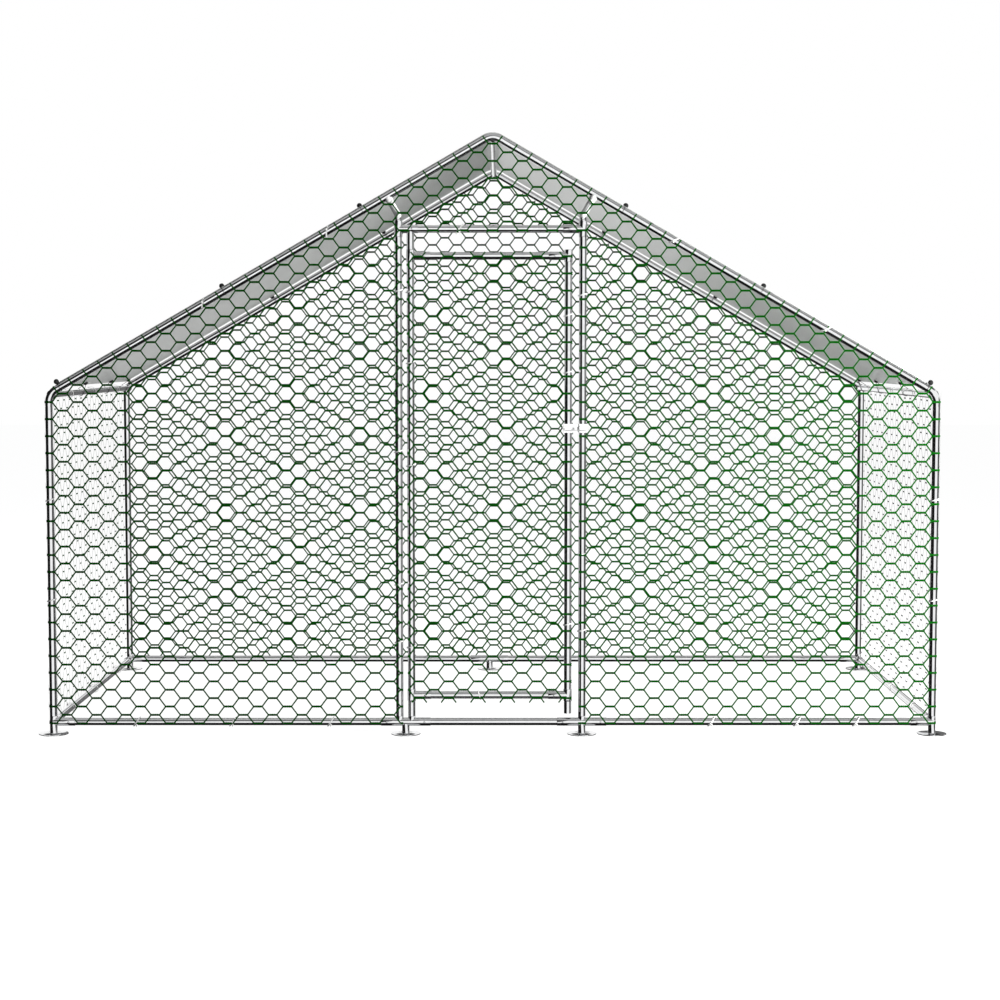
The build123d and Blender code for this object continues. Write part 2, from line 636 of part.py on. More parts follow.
def doorway_parts():
    """Door posts, header, their tees and the latch keeper."""
    header_start = (HINGE_POST_X + SEAT, FRONT, HEADER_HEIGHT)
    header_end = (LATCH_POST_X - SEAT, FRONT, HEADER_HEIGHT)
    return {
        "hinge_side_door_post": tube((HINGE_POST_X, FRONT, POST_SEAT), (HINGE_POST_X, FRONT, POST_TOP)),
        "latch_side_door_post": tube((LATCH_POST_X, FRONT, POST_SEAT), (LATCH_POST_X, FRONT, POST_TOP)),
        "door_header": tube(header_start, header_end),
        "hinge_side_header_tee": hinge_header_tee(),
        "latch_side_header_tee": tee(LATCH_POST_X, HEADER_HEIGHT, -1, HEADER_TEE_HALF),
        "left_rafter_tee": rafter_tee(HINGE_POST_X, -1),
        "right_rafter_tee": rafter_tee(LATCH_POST_X, 1),
        "latch_keeper": latch_keeper(),
    }


def covering_parts():
    """Netting on the fixed frame, roof cover and bungee balls."""
    return {
        "front_left_net": front_side_net(HINGE_POST_X, -1),
        "front_right_net": front_side_net(LATCH_POST_X, 1) - latch_notch(LATCH_POST_X, 1),
        "gable_net": gable_net(),
        "back_net": back_net(),
        "left_side_net": side_net(-1),
        "right_side_net": side_net(1),
        "roof_cover": roof_cover(),
        "bungee_balls": bungee_balls(),
    }


def door_parts():
    """Door frame, its tees and netting, the latch barrel and the bolt."""
    stile_low = POST_SEAT + HINGE_PLAY
    stile_high = HEADER_HEIGHT - SLEEVE_R - HINGE_LIFT
    latch_low = BASE_RAIL_HEIGHT + LATCH_STILE_RISE
    latch_high = DOOR_TOP_HEIGHT + DOOR_TEE_HALF
    parts = {
        "hinge_stile": tube((HINGE_STILE_X, FRONT, stile_low), (HINGE_STILE_X, FRONT, stile_high)),
        "latch_stile": tube((LATCH_STILE_X, FRONT, latch_low), (LATCH_STILE_X, FRONT, latch_high)),
    }
    for name, z in (("top", DOOR_TOP_HEIGHT), ("bottom", DOOR_BOTTOM_HEIGHT)):
        parts[f"door_{name}_rail"] = tube((HINGE_STILE_X + SEAT, FRONT, z), (LATCH_STILE_X - SEAT, FRONT, z))
        parts[f"hinge_{name}_tee"] = tee(HINGE_STILE_X, z, 1, DOOR_TEE_HALF)
        parts[f"latch_{name}_tee"] = tee(LATCH_STILE_X, z, -1, DOOR_TEE_HALF)
    parts["door_net"] = door_net()
    parts["latch_barrel"] = latch_barrel()
    parts["latch_bolt"] = latch_bolt()
    return parts


def main():
    """Build every node and write its STEP file."""
    parts = {}
    for group in (corner_parts, roof_parts, base_parts, doorway_parts, covering_parts, door_parts):
        parts.update(group())
    os.makedirs("parts", exist_ok=True)
    for name, shape in parts.items():
        export_step(shape, f"parts/{name}.step")


main()
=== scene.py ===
"""Finished look of a walk-in poultry run: netting, cloth cover, fittings and finishes on its tube frame."""

import logging
import math
from dataclasses import dataclass, field, replace
from enum import Enum

import bmesh
import bpy
import numpy as np
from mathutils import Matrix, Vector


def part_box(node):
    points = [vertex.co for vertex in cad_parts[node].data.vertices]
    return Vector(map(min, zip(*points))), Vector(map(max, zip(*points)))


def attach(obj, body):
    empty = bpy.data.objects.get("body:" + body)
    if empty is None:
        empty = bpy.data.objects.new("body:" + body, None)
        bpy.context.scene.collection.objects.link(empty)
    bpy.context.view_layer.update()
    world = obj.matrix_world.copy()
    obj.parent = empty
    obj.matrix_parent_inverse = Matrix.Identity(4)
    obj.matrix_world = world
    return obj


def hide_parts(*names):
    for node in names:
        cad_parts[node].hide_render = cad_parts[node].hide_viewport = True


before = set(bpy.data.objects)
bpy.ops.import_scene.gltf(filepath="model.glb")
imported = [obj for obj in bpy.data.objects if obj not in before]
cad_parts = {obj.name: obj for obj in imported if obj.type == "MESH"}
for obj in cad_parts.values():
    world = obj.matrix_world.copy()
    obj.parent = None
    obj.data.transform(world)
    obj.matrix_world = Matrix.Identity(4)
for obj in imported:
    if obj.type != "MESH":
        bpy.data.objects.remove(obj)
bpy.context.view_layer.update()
LOG = logging.getLogger("poultry_run")

Array = np.ndarray
Pair = tuple[float, float]
Triple = tuple[float, float, float]
Pairs = tuple[Pair, ...]
Floats = tuple[float, ...]
Profile = list[Pair]
Tree = bpy.types.NodeTree
Socket = bpy.types.NodeSocket

ROOF_PITCH = math.radians(30.0)
SMOOTH_ANGLE = math.radians(40.0)
MERGE_DISTANCE = 1e-6
ROUND_SIDES = 32
DISC_SIDES = 48
BALL_SIDES = 20
SCREW_SIDES = 12
ARC_POINTS = 17
RELIEF_STRENGTH = 0.6
WEAVE_WANDER = 0.4
WHITE = (1, 1, 1, 1)
X, Y, Z = np.eye(3)
SIDES = {"left": -1, "right": 1}
ENDS = {"front": -1, "back": 1}
# Distance along the axis and radius of a pan-head screw with a sunk recess, in head radii
SCREW_PAN = np.array([(-0.3, 1.0), (0.25, 1.0), (0.5, 0.86), (0.6, 0.5), (0.2, 0.3), (0.1, 0.0)])
# Place along a cable tie's head, in head sizes, and the share of its full section there
TIE_HEAD = np.array([(-0.5, 0.0), (-0.45, 0.85), (-0.1, 1.0), (0.0, 0.9), (0.1, 1.0), (0.45, 0.85), (0.5, 0.0)])


class Body(Enum):
    """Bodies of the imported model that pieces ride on."""

    FRAME = "frame"
    DOOR = "door"


class Grain(Enum):
    """Kinds of fine pattern that a finish carries."""

    SPANGLE = "spangle"
    CAST = "cast"
    MOULDED = "moulded"
    WOVEN = "woven"


NOISE_DETAIL = {Grain.CAST: 6.0, Grain.MOULDED: 2.0}


def unit(vector: Array) -> Array:
    """Scale a vector, or each vector in the last axis of an array, to length one."""
    return vector / np.linalg.norm(vector, axis=-1, keepdims=True)


def middle(node: str) -> Array:
    """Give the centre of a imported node's box, in metres."""
    low, high = np.array(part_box(node))
    return (low + high) / 2


def travelled(points: Array) -> Array:
    """Give the length along a line of points up to each of them."""
    steps = np.linalg.norm(np.diff(points, axis=0), axis=1)
    return np.concatenate([[0], np.cumsum(steps)])


def circle(radius: float, sides: int) -> Array:
    """Give a round profile for a sweep, of shape (sides, 2)."""
    turn = np.linspace(0, 2 * math.pi, sides, endpoint=False)
    return radius * np.stack([np.cos(turn), np.sin(turn)], axis=-1)


def dome(radius: float, rows: int = 9) -> Profile:
    """Give the lathe profile of a ball centred at distance zero, with rings from pole to pole."""
    turn = np.linspace(0, math.pi, rows)
    return list(zip(-radius * np.cos(turn), radius * np.sin(turn)))


def sweep(path: Array, profile: Array, up: Array, closed: bool = False) -> Array:
    """Carry a profile along a path, kept upright to a given direction.

    At each station the profile's first axis lies along up x tangent and its second square to both.

    Args:
        path: Stations of shape (n, 3).
        profile: Profile points of shape (m, 2), or (n, m, 2) where it changes along the path.
        up: Direction that the profile's second axis keeps towards.
        closed: Whether the path joins its own start.

    Returns:
        Grid of points of shape (n, m, 3).
    """
    if closed:
        tangent = np.roll(path, -1, axis=0) - np.roll(path, 1, axis=0)
    else:
        tangent = np.gradient(path, axis=0)
    tangent = unit(tangent)
    across = unit(np.cross(up, tangent))
    upward = np.cross(tangent, across)
    profile = np.broadcast_to(profile, (len(path), *profile.shape[-2:]))
    return path[:, None] + profile[..., :1] * across[:, None] + profile[..., 1:] * upward[:, None]


def lathe(start: Array, axis: Array, profile: Profile | Array, sides: int = ROUND_SIDES) -> Array:
    """Turn a profile about an axis.

    Args:
        start: Point where the axis distance is zero.
        axis: Direction of the axis.
        profile: Pairs of distance along the axis and radius.
        sides: Points round each ring.

    Returns:
        Grid of points of shape (len(profile), sides, 3).
    """
    axis = unit(np.asarray(axis, float))
    helper = X if abs(axis[0]) < 0.7 else Z
    across = unit(np.cross(helper, axis))
    ring = circle(1.0, sides) @ np.stack([across, np.cross(axis, across)])
    shape = np.asarray(profile, float)
    return start + shape[:, :1, None] * axis + shape[:, 1:, None] * ring


def bend(corner: Array, leg_a: Array, leg_b: Array, radius: float, leg: float) -> Array:
    """Centre line of a bent tube: a straight leg, an arc that meets both legs, and a second leg.

    Args:
        corner: Point where the two legs would meet.
        leg_a: Unit direction of the first leg, out of the corner.
        leg_b: Unit direction of the second leg.
        radius: Radius of the arc.
        leg: Length of the straight part beyond the arc.

    Returns:
        Path points of shape (n, 3).
    """
    half_turn = (math.pi - math.acos(float(leg_a @ leg_b))) / 2
    reach = radius * math.tan(half_turn)
    centre = corner + unit(leg_a + leg_b) * radius / math.cos(half_turn)
    arms = corner + np.stack([leg_a, leg_b]) * reach - centre
    share = np.linspace(0, 1, ARC_POINTS)[:, None]
    turn = 2 * half_turn
    arc = centre + (np.sin((1 - share) * turn) * arms[0] + np.sin(share * turn) * arms[1]) / math.sin(turn)
    near = np.array([leg, leg / 2])[:, None]
    return np.vstack([arc[0] + near * leg_a, arc, arc[-1] + near[::-1] * leg_b])


def link(tree: Tree, kind: str, *joined: object, **values: object) -> bpy.types.Node:
    """Add a node, set its options and fill its sockets with constants or other sockets.

    Args:
        tree: Tree to add to.
        kind: Node type without its ShaderNode prefix.
        joined: Values for the first sockets, in order.
        values: Options of the node, in lower case, and values for sockets by name, with underscores for spaces.

    Returns:
        The new node.
    """
    node = tree.nodes.new("ShaderNode" + kind)
    for name in filter(str.islower, values):
        setattr(node, name, values[name])
    named = [(name.replace("_", " "), value) for name, value in values.items() if not name.islower()]
    for key, value in [*enumerate(joined), *named]:
        if isinstance(value, Socket):
            tree.links.new(value, node.inputs[key])
        else:
            node.inputs[key].default_value = value
    return node


def arithmetic(tree: Tree, operation: str, *values: object) -> Socket:
    """Add a maths node on constants or sockets, and give the socket with its result."""
    return link(tree, "Math", *values, operation=operation).outputs[0]


def mixed(tree: Tree, share: float | Socket, first: Socket, second: Socket, how: str = "MIX") -> Socket:
    """Add a mix of two colours.

    Args:
        tree: Tree to add to.
        share: The second colour's share.
        first: Socket with the first colour.
        second: Socket with the second colour.
        how: Kind of blend.

    Returns:
        Socket with the mixed colour.
    """
    mix = link(tree, "Mix", share, data_type="RGBA", blend_type=how)
    for colour, socket in zip((first, second), [s for s in mix.inputs if s.type == "RGBA"]):
        tree.links.new(colour, socket)
    return next(s for s in mix.outputs if s.type == "RGBA")


def ramp(tree: Tree, value: Socket, stops: list[tuple[float, Triple]]) -> Socket:
    """Add a colour ramp.

    Args:
        tree: Tree to add to.
        value: Socket with the place on the ramp.
        stops: Places from 0 to 1, in rising order, and the colours there.

    Returns:
        Socket with the colour.
    """
    node = link(tree, "ValToRGB", value)
    places = node.color_ramp.elements
    while len(places) < len(stops):
        places.new(0.5)
    for place, (at, colour) in zip(places, stops):
        place.position = at
        place.color = (*colour, 1)
    return node.outputs["Color"]


def cleared(owner: bpy.types.Material | bpy.types.World) -> Tree:
    """Give the emptied node tree of a material or world."""
    owner.use_nodes = True
    owner.node_tree.nodes.clear()
    return owner.node_tree


def placed(name: str, data: bpy.types.ID) -> bpy.types.Object:
    """Add an object to the scene and give it."""
    thing = bpy.data.objects.new(name, data)
    bpy.context.scene.collection.objects.link(thing)
    return thing


@dataclass(frozen=True)
class Finish:
    """A procedural surface: two colours mixed by a fine grain, with uneven gloss and relief."""

    name: str
    slot: str
    grain: Grain
    scale: float  # pattern repeats per metre
    dark: Triple  # colours at the bottom and at the top of the grain
    light: Triple
    rough: Pair  # lowest and highest roughness
    metallic: float = 0.0
    relief: float = 0.0  # height of the grain in metres
    glow: float = 0.0  # share of light that it lets through
    shine: float = 0.5  # strength of the mirror-like part

    def pattern(self, tree: Tree) -> Socket:
        """Add the grain's texture nodes.

        Args:
            tree: Material tree to add to.

        Returns:
            Socket that gives the grain's height from 0 to 1.
        """
        place = link(tree, "TexCoord").outputs
        if self.grain is Grain.WOVEN:
            return self.weave(tree, place["UV"])
        if self.grain is Grain.SPANGLE:
            flakes = link(tree, "TexVoronoi", Vector=place["Object"], Scale=self.scale, Randomness=1.0)
            return flakes.outputs["Color"]
        noise = link(tree, "TexNoise", Vector=place["Object"], Scale=self.scale, Detail=NOISE_DETAIL[self.grain])
        return noise.outputs[0]

    def weave(self, tree: Tree, place: Socket) -> Socket:
        """Flat tapes crossing over and under: two wave bands at right angles, the higher one showing.

        Args:
            tree: Material tree to add to.
            place: Socket with the cloth's own coordinates.

        Returns:
            Socket that gives the height from 0 to 1.
        """
        looks = {"Vector": place, "Scale": self.scale, "Distortion": WEAVE_WANDER}
        waves = [link(tree, "TexWave", bands_direction=way, **looks) for way in "XY"]
        return mixed(tree, 0.5, *(wave.outputs["Color"] for wave in waves), how="LIGHTEN")

    def material(self) -> bpy.types.Material:
        """Give the node material, made on first use.

        Returns:
            The material.
        """
        made = bpy.data.materials.get(self.name)
        if made:
            return made
        made = bpy.data.materials.new(self.name)
        tree = cleared(made)
        height = self.pattern(tree)
        colour = ramp(tree, height, [(0, self.dark), (1, self.light)])
        gloss = link(tree, "MapRange", Value=height, To_Min=self.rough[0], To_Max=self.rough[1])
        surface = link(
            tree,
            "BsdfPrincipled",
            Base_Color=colour,
            Roughness=gloss.outputs["Result"],
            Metallic=self.metallic,
            Specular_IOR_Level=self.shine,
        )
        if self.relief:
            bump = link(tree, "Bump", Height=height, Distance=self.relief, Strength=RELIEF_STRENGTH)
            tree.links.new(bump.outputs["Normal"], surface.inputs["Normal"])
        shown = surface.outputs["BSDF"]
        if self.glow:
            through = link(tree, "BsdfTranslucent", Color=colour)
            shown = link(tree, "MixShader", self.glow, shown, through.outputs["BSDF"]).outputs[0]
        link(tree, "OutputMaterial", Surface=shown)
        return made


GALVANISED = Finish(
    name="galvanised_steel", slot="galvanised_tube", grain=Grain.SPANGLE, scale=70.0,
    dark=(0.84, 0.85, 0.86), light=(0.93, 0.93, 0.94), rough=(0.06, 0.11), metallic=1.0,
)
ZINC = Finish(
    name="zinc_plate", slot="zinc_fittings", grain=Grain.CAST, scale=130.0,
    dark=(0.84, 0.84, 0.84), light=(0.92, 0.92, 0.91), rough=(0.3, 0.5), relief=0.0002,
)
WIRE = Finish(
    name="green_coated_wire", slot="coated_wire", grain=Grain.MOULDED, scale=260.0,
    dark=(0.0006, 0.045, 0.001), light=(0.0012, 0.07, 0.002), rough=(0.45, 0.6), shine=0.08,
)
CLOTH = Finish(
    name="grey_cover_cloth", slot="cover_cloth", grain=Grain.WOVEN, scale=110.0,
    dark=(0.62, 0.63, 0.62), light=(0.72, 0.73, 0.72), rough=(0.16, 0.24), relief=0.0001, glow=0.4, shine=1.0,
)
RUBBER = Finish(
    name="black_bungee", slot="bungee_black", grain=Grain.MOULDED, scale=320.0,
    dark=(0.006, 0.006, 0.006), light=(0.02, 0.02, 0.02), rough=(0.3, 0.5),
)
NYLON = Finish(
    name="white_nylon", slot="zinc_fittings", grain=Grain.MOULDED, scale=240.0,
    dark=(0.82, 0.82, 0.8), light=(0.9, 0.9, 0.89), rough=(0.35, 0.5),
)


class Surface:
    """Gathers grids of points into one mesh."""

    def __init__(self) -> None:
        """Start with no grids."""
        self._points: list[Array] = []
        self._quads: list[Array] = []
        self._uvs: list[Array] = []
        self._parts: list[Array] = []
        self._count = 0

    def add(
        self,
        grid: Array,
        wrap_rows: bool = False,
        wrap_cols: bool = True,
        uv: Array | None = None,
        part: int = 0,
    ) -> None:
        """Add one grid, or a stack of grids with the same shape.

        Args:
            grid: Points of shape (rows, cols, 3), or (copies, rows, cols, 3).
            wrap_rows: Whether the last row joins the first.
            wrap_cols: Whether the last column joins the first.
            uv: Surface coordinates of shape (rows, cols, 2) where the finish needs them.
            part: Which of the piece's finishes it takes.
        """
        stack = grid.reshape(-1, *grid.shape[-3:])
        copies, rows, cols, _ = stack.shape
        ids = np.arange(rows * cols).reshape(rows, cols)
        if wrap_rows:
            ids = np.vstack([ids, ids[:1]])
        if wrap_cols:
            ids = np.hstack([ids, ids[:, :1]])
        quads = np.stack([ids[:-1, :-1], ids[:-1, 1:], ids[1:, 1:], ids[1:, :-1]], axis=-1).reshape(-1, 4)
        first = self._count + np.arange(copies) * rows * cols
        self._points.append(stack.reshape(-1, 3))
        self._quads.append((first[:, None, None] + quads).reshape(-1, 4))
        self._parts.append(np.full(copies * len(quads), part, np.int32))
        if uv is not None:
            self._uvs.append(uv.reshape(-1, 2))
        self._count += copies * rows * cols

    def mesh(self, name: str, weld: bool) -> bpy.types.Mesh:
        """Make the mesh from all the grids.

        Args:
            name: Mesh name.
            weld: Whether points that share a place are joined.

        Returns:
            The mesh, smooth except at sharp edges.
        """
        points = np.concatenate(self._points)
        quads = np.concatenate(self._quads)
        mesh = bpy.data.meshes.new(name)
        mesh.vertices.add(len(points))
        mesh.vertices.foreach_set("co", points.astype(np.float32).ravel())
        mesh.loops.add(quads.size)
        mesh.loops.foreach_set("vertex_index", quads.astype(np.int32).ravel())
        mesh.polygons.add(len(quads))
        mesh.polygons.foreach_set("loop_start", np.arange(0, quads.size, 4, dtype=np.int32))
        mesh.polygons.foreach_set("use_smooth", np.ones(len(quads), bool))
        mesh.polygons.foreach_set("material_index", np.concatenate(self._parts))
        mesh.update(calc_edges=True)
        if self._uvs:
            layer = mesh.uv_layers.new(name="cloth")
            layer.data.foreach_set("uv", np.concatenate(self._uvs)[quads.ravel()].astype(np.float32).ravel())
        if weld:
            shell = bmesh.new()
            shell.from_mesh(mesh)
            bmesh.ops.remove_doubles(shell, verts=shell.verts, dist=MERGE_DISTANCE)
            shell.to_mesh(mesh)
            shell.free()
        mesh.set_sharp_from_angle(angle=SMOOTH_ANGLE)
        return mesh

    def piece(
        self,
        name: str,
        body: Body,
        finish: Finish,
        stands_for: tuple[str, ...] = (),
        weld: bool = True,
        second: Finish | None = None,
    ) -> bpy.types.Object:
        """Make the object, dress it and let it ride a body.

        Args:
            name: Object name.
            body: Body that it moves with.
            finish: Its surface.
            stands_for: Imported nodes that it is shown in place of.
            weld: Whether points that share a place are joined.
            second: Another finish, for the grids added as part 1.

        Returns:
            The object.
        """
        mesh = self.mesh(name, weld)
        mesh.materials.append(finish.material())
        if second:
            mesh.materials.append(second.material())
        thing = placed(name, mesh)
        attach(thing, body.value)
        if stands_for:
            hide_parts(*stands_for)
        LOG.info("%s: %d faces", name, len(mesh.polygons))
        return thing


@dataclass(frozen=True)
class Plan:
    """Centre lines of the tube frame in metres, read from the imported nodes."""

    half_width: float
    half_depth: float
    tube: float
    eave: float
    base: float
    post_seat: float
    header: float
    post_top: float
    hinge_post: float
    latch_post: float
    hinge_stile: float
    latch_stile: float
    door_top: float
    door_bottom: float

    @classmethod
    def read(cls) -> "Plan":
        """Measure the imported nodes.

        Returns:
            The plan.
        """
        low, high = np.array(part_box("front_right_post"))
        post = (low + high) / 2
        rafter = middle("front_right_rafter")
        return cls(
            half_width=post[0],
            half_depth=-post[1],
            tube=(high[0] - low[0]) / 2,
            eave=rafter[2] - (post[0] - rafter[0]) * math.tan(ROOF_PITCH),
            base=middle("left_base_rail")[2],
            post_seat=low[2],
            header=middle("door_header")[2],
            post_top=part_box("hinge_side_door_post")[1][2],
            hinge_post=middle("hinge_side_door_post")[0],
            latch_post=middle("latch_side_door_post")[0],
            hinge_stile=middle("hinge_stile")[0],
            latch_stile=middle("latch_stile")[0],
            door_top=middle("door_top_rail")[2],
            door_bottom=middle("door_bottom_rail")[2],
        )

    @property
    def front(self) -> float:
        """Depth of the front frame."""
        return -self.half_depth

    @property
    def apex(self) -> float:
        """Height where the two rafter lines would meet."""
        return self.eave + self.half_width * math.tan(ROOF_PITCH)

    def roof(self, x: float) -> float:
        """Height of the rafter line at a place across the front."""
        return self.apex - abs(x) * math.tan(ROOF_PITCH)

    def at(self, x: float, z: float) -> Array:
        """Point in the plane of the front frame."""
        return np.array([x, self.front, z])

    def up(self, side: int) -> Array:
        """Unit vector up the slope of a side (-1 left, +1 right)."""
        return np.array([-side * math.cos(ROOF_PITCH), 0, math.sin(ROOF_PITCH)])

    def off(self, side: int) -> Array:
        """Unit vector out of the slope of a side (-1 left, +1 right)."""
        return np.array([side * math.sin(ROOF_PITCH), 0, math.cos(ROOF_PITCH)])

    def corner(self, side: int, y: float) -> Array:
        """Point where a corner post's line meets its rafter's line."""
        return np.array([side * self.half_width, y, self.eave])


@dataclass(frozen=True)
class Fittings:
    """Feet, tees and elbows that join the tubes, as turned and bent forms; sizes in metres."""

    plan: Plan
    # Sleeves with a rolled lip, and their screws
    sleeve: float = 0.014
    lip: float = 0.0012
    clearance: float = 0.00005
    screw_inset: float = 0.02
    screw_head: float = 0.0037
    # Feet
    disc: float = 0.05
    disc_thickness: float = 0.003
    weld: float = 0.0035
    corner_reach: float = 0.073
    sill_reach: float = 0.084
    centre_reach: float = 0.076
    # Tube ends: length and depth of the rounded edge, and the width of the end face
    edge: float = 0.0008
    edge_depth: float = 0.0006
    end_face: float = 0.002
    # Elbows with reduced ends
    bend_radius: float = 0.05
    bend_leg: float = 0.015
    reduced: float = 0.0005
    depth_stub: float = 0.0205
    # Tees, and the hinge pin on one of them
    tee_reach: float = 0.066
    header_half: float = 0.0265
    door_half: float = 0.0205
    pin: float = 0.0113
    pin_gap: float = 0.0012
    # Rafter tees: cap on the post, knuckle, and a branch that flares to a saddle
    cap: float = 0.008
    knuckle: float = 0.01025
    knuckle_rise: float = 0.0145
    knuckle_forward: float = 0.0035
    branch: float = 0.011
    flare_length: Pair = (0.006, 0.001)
    flare_swell: float = 0.0015
    saddle: float = 0.0133
    saddle_gap: float = 0.004

    def mouth(self, end: float, inner: float) -> Profile:
        """Give the profile of a sleeve's rolled lip, from its outside to an inner radius."""
        r, lip = self.sleeve, self.lip
        return [(end - lip, r), (end - 0.3 * lip, r - 0.3 * lip), (end, r - lip), (end - lip, inner)]

    def arm(self, form: Surface, start: Array, direction: Array, reach: float, screw: Array) -> None:
        """Add a sleeve with a rolled lip at its mouth, and its screw.

        Args:
            form: Surface to add to.
            start: Point on the fitting's axis.
            direction: Way the sleeve runs.
            reach: Its length from the axis.
            screw: Side that the screw head is on.
        """
        r = self.sleeve
        form.add(lathe(start, direction, [(0, r), (reach / 2, r), *self.mouth(reach, self.plan.tube)]))
        seat = start + direction * (reach - self.screw_inset) + screw * r
        form.add(lathe(seat, screw, self.screw_head * SCREW_PAN, SCREW_SIDES))

    def foot(self, name: str, x: float, y: float, arms: list[Array], reach: float, posts: list[float]) -> None:
        """Make a foot: disc with a weld round its stub, rail sleeves, and a collar under each upright.

        Args:
            name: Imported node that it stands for.
            x: Place across.
            y: Place in depth.
            arms: Directions of the sleeves.
            reach: Length of the sleeves from the axis.
            posts: Places across of the uprights.
        """
        p, r, t, w = self.plan, self.plan.tube, self.disc_thickness, self.weld
        form = Surface()
        edge = [(0, 0), (0, self.disc - t / 4), (t / 4, self.disc), (3 * t / 4, self.disc), (t, self.disc - t / 4)]
        weld = [(t, r + w / 3), (t + w / 9, r + w / 9), (t + w / 3, r)]
        form.add(lathe(np.array([x, y, 0]), Z, [*edge, *weld, (p.base, r)], DISC_SIDES))
        node = np.array([x, y, p.base])
        form.add(lathe(node, Z, dome(self.sleeve)))
        for arm in arms:
            screw = math.copysign(1, y) * Y if arm[0] else math.copysign(1, x) * X
            self.arm(form, node, arm, reach, screw)
        rim = p.post_seat - p.base
        collar = [(0, r), (rim - self.edge, r), (rim, r - self.edge_depth), (rim, r - self.end_face)]
        for place in posts:
            form.add(lathe(np.array([place, y, p.base]), Z, collar))
        form.piece(f"{name}_form", Body.FRAME, GALVANISED, (name,))

    def feet(self) -> None:
        """Make the seven feet."""
        p = self.plan
        for end, end_sign in ENDS.items():
            for side, sign in SIDES.items():
                x, y = sign * p.half_width, end_sign * p.half_depth
                self.foot(f"{end}_{side}_foot", x, y, [-sign * X, -end_sign * Y], self.corner_reach, [x])
        hinge = (p.hinge_post + p.hinge_stile) / 2
        self.foot("hinge_side_foot", hinge, p.front, [-X, X], self.sill_reach, [p.hinge_post, p.hinge_stile])
        self.foot("latch_side_foot", p.latch_post, p.front, [-X, X], self.sill_reach, [p.latch_post])
        self.foot("back_centre_foot", middle("back_centre_foot")[0], p.half_depth, [-X, X], self.centre_reach, [])

    def elbow(self, name: str, corner: Array, leg_a: Array, leg_b: Array, depth: Array) -> None:
        """Make a bent fitting with a welded stub for the rail that runs in depth.

        Args:
            name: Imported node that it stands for.
            corner: Point where its legs would meet.
            leg_a: Direction of the first leg.
            leg_b: Direction of the second leg.
            depth: Direction of the stub.
        """
        r, w, end, edge = self.plan.tube, self.weld, self.depth_stub, self.edge_depth
        path = bend(corner, leg_a, leg_b, self.bend_radius, self.bend_leg)
        radii = np.full(len(path), r)
        radii[[0, -1]] = r - self.reduced
        form = Surface()
        form.add(sweep(path, radii[:, None, None] * circle(1.0, ROUND_SIDES), Y))
        weld = [(0, r), (0.7 * r, r + w), (r, r + w / 3), (r + w, r)]
        form.add(lathe(path[len(path) // 2], depth, [*weld, (end - edge, r), (end, r - edge)]))
        form.piece(f"{name}_form", Body.FRAME, GALVANISED, (name,))

    def elbows(self) -> None:
        """Make the four eave elbows and the two apex elbows."""
        p = self.plan
        for end, end_sign in ENDS.items():
            y = end_sign * p.half_depth
            for side, sign in SIDES.items():
                self.elbow(f"{end}_{side}_eave_elbow", p.corner(sign, y), -Z, p.up(sign), -end_sign * Y)
            self.elbow(f"{end}_apex_elbow", np.array([0, y, p.apex]), -p.up(-1), -p.up(1), -end_sign * Y)

    def tee(self, name: str, x: float, z: float, sign: int, half: float, body: Body) -> None:
        """Make a tee: a sleeve on an upright with rolled lips, and a sleeve for the cross rail.

        Args:
            name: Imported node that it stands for.
            x: Place across of the upright.
            z: Height of the rail.
            sign: Side that the rail is on.
            half: Half height of the upright sleeve.
            body: Body that it rides.
        """
        p = self.plan
        high = self.mouth(half, p.tube + self.clearance)
        low = [(-distance, radius) for distance, radius in reversed(high)]
        form = Surface()
        form.add(lathe(p.at(x, z), Z, low + high))
        self.arm(form, p.at(x, z), sign * X, self.tee_reach, -Y)
        if name == "hinge_side_header_tee":
            form.add(lathe(p.at(p.hinge_stile, z), -Z, [(0, self.pin), (self.sleeve + self.pin_gap, self.pin)]))
        form.piece(f"{name}_form", body, GALVANISED, (name,))

    def tees(self) -> None:
        """Make the header tees and the door's four tees."""
        p = self.plan
        self.tee("hinge_side_header_tee", p.hinge_post, p.header, 1, self.header_half, Body.FRAME)
        self.tee("latch_side_header_tee", p.latch_post, p.header, -1, self.header_half, Body.FRAME)
        for level, z in (("top", p.door_top), ("bottom", p.door_bottom)):
            self.tee(f"hinge_{level}_tee", p.hinge_stile, z, 1, self.door_half, Body.DOOR)
            self.tee(f"latch_{level}_tee", p.latch_stile, z, -1, self.door_half, Body.DOOR)

    def rafter_tees(self) -> None:
        """Make the branches that hold the door posts under the rafters: cap, ball knuckle and flared branch."""
        p, r, edge, cap, branch = self.plan, self.plan.tube, self.edge, self.cap, self.branch
        for side, sign, x in (("left", -1, p.hinge_post), ("right", 1, p.latch_post)):
            knuckle = p.at(x, p.post_top + self.knuckle_rise)
            reach = (p.roof(x) - knuckle[2]) * math.cos(ROOF_PITCH)
            form = Surface()
            lower = [(0, r - self.end_face), (0, r - self.edge_depth), (edge, r)]
            form.add(lathe(p.at(x, p.post_top), Z, [*lower, (cap - edge, r), (cap, r - edge), (cap, 0)]), part=1)
            form.add(lathe(knuckle - self.knuckle_forward * Y, p.off(sign), dome(self.knuckle, ARC_POINTS)))
            near = reach - r - self.saddle_gap
            start, stop = near - np.array(self.flare_length)
            flare = [(0, branch), (start, branch), (stop, branch + self.flare_swell), (near, self.saddle)]
            form.add(lathe(knuckle, p.off(sign), [*flare, (reach - 0.3 * r, self.saddle)]))
            form.piece(f"{side}_rafter_tee_form", Body.FRAME, ZINC, (f"{side}_rafter_tee",), second=GALVANISED)


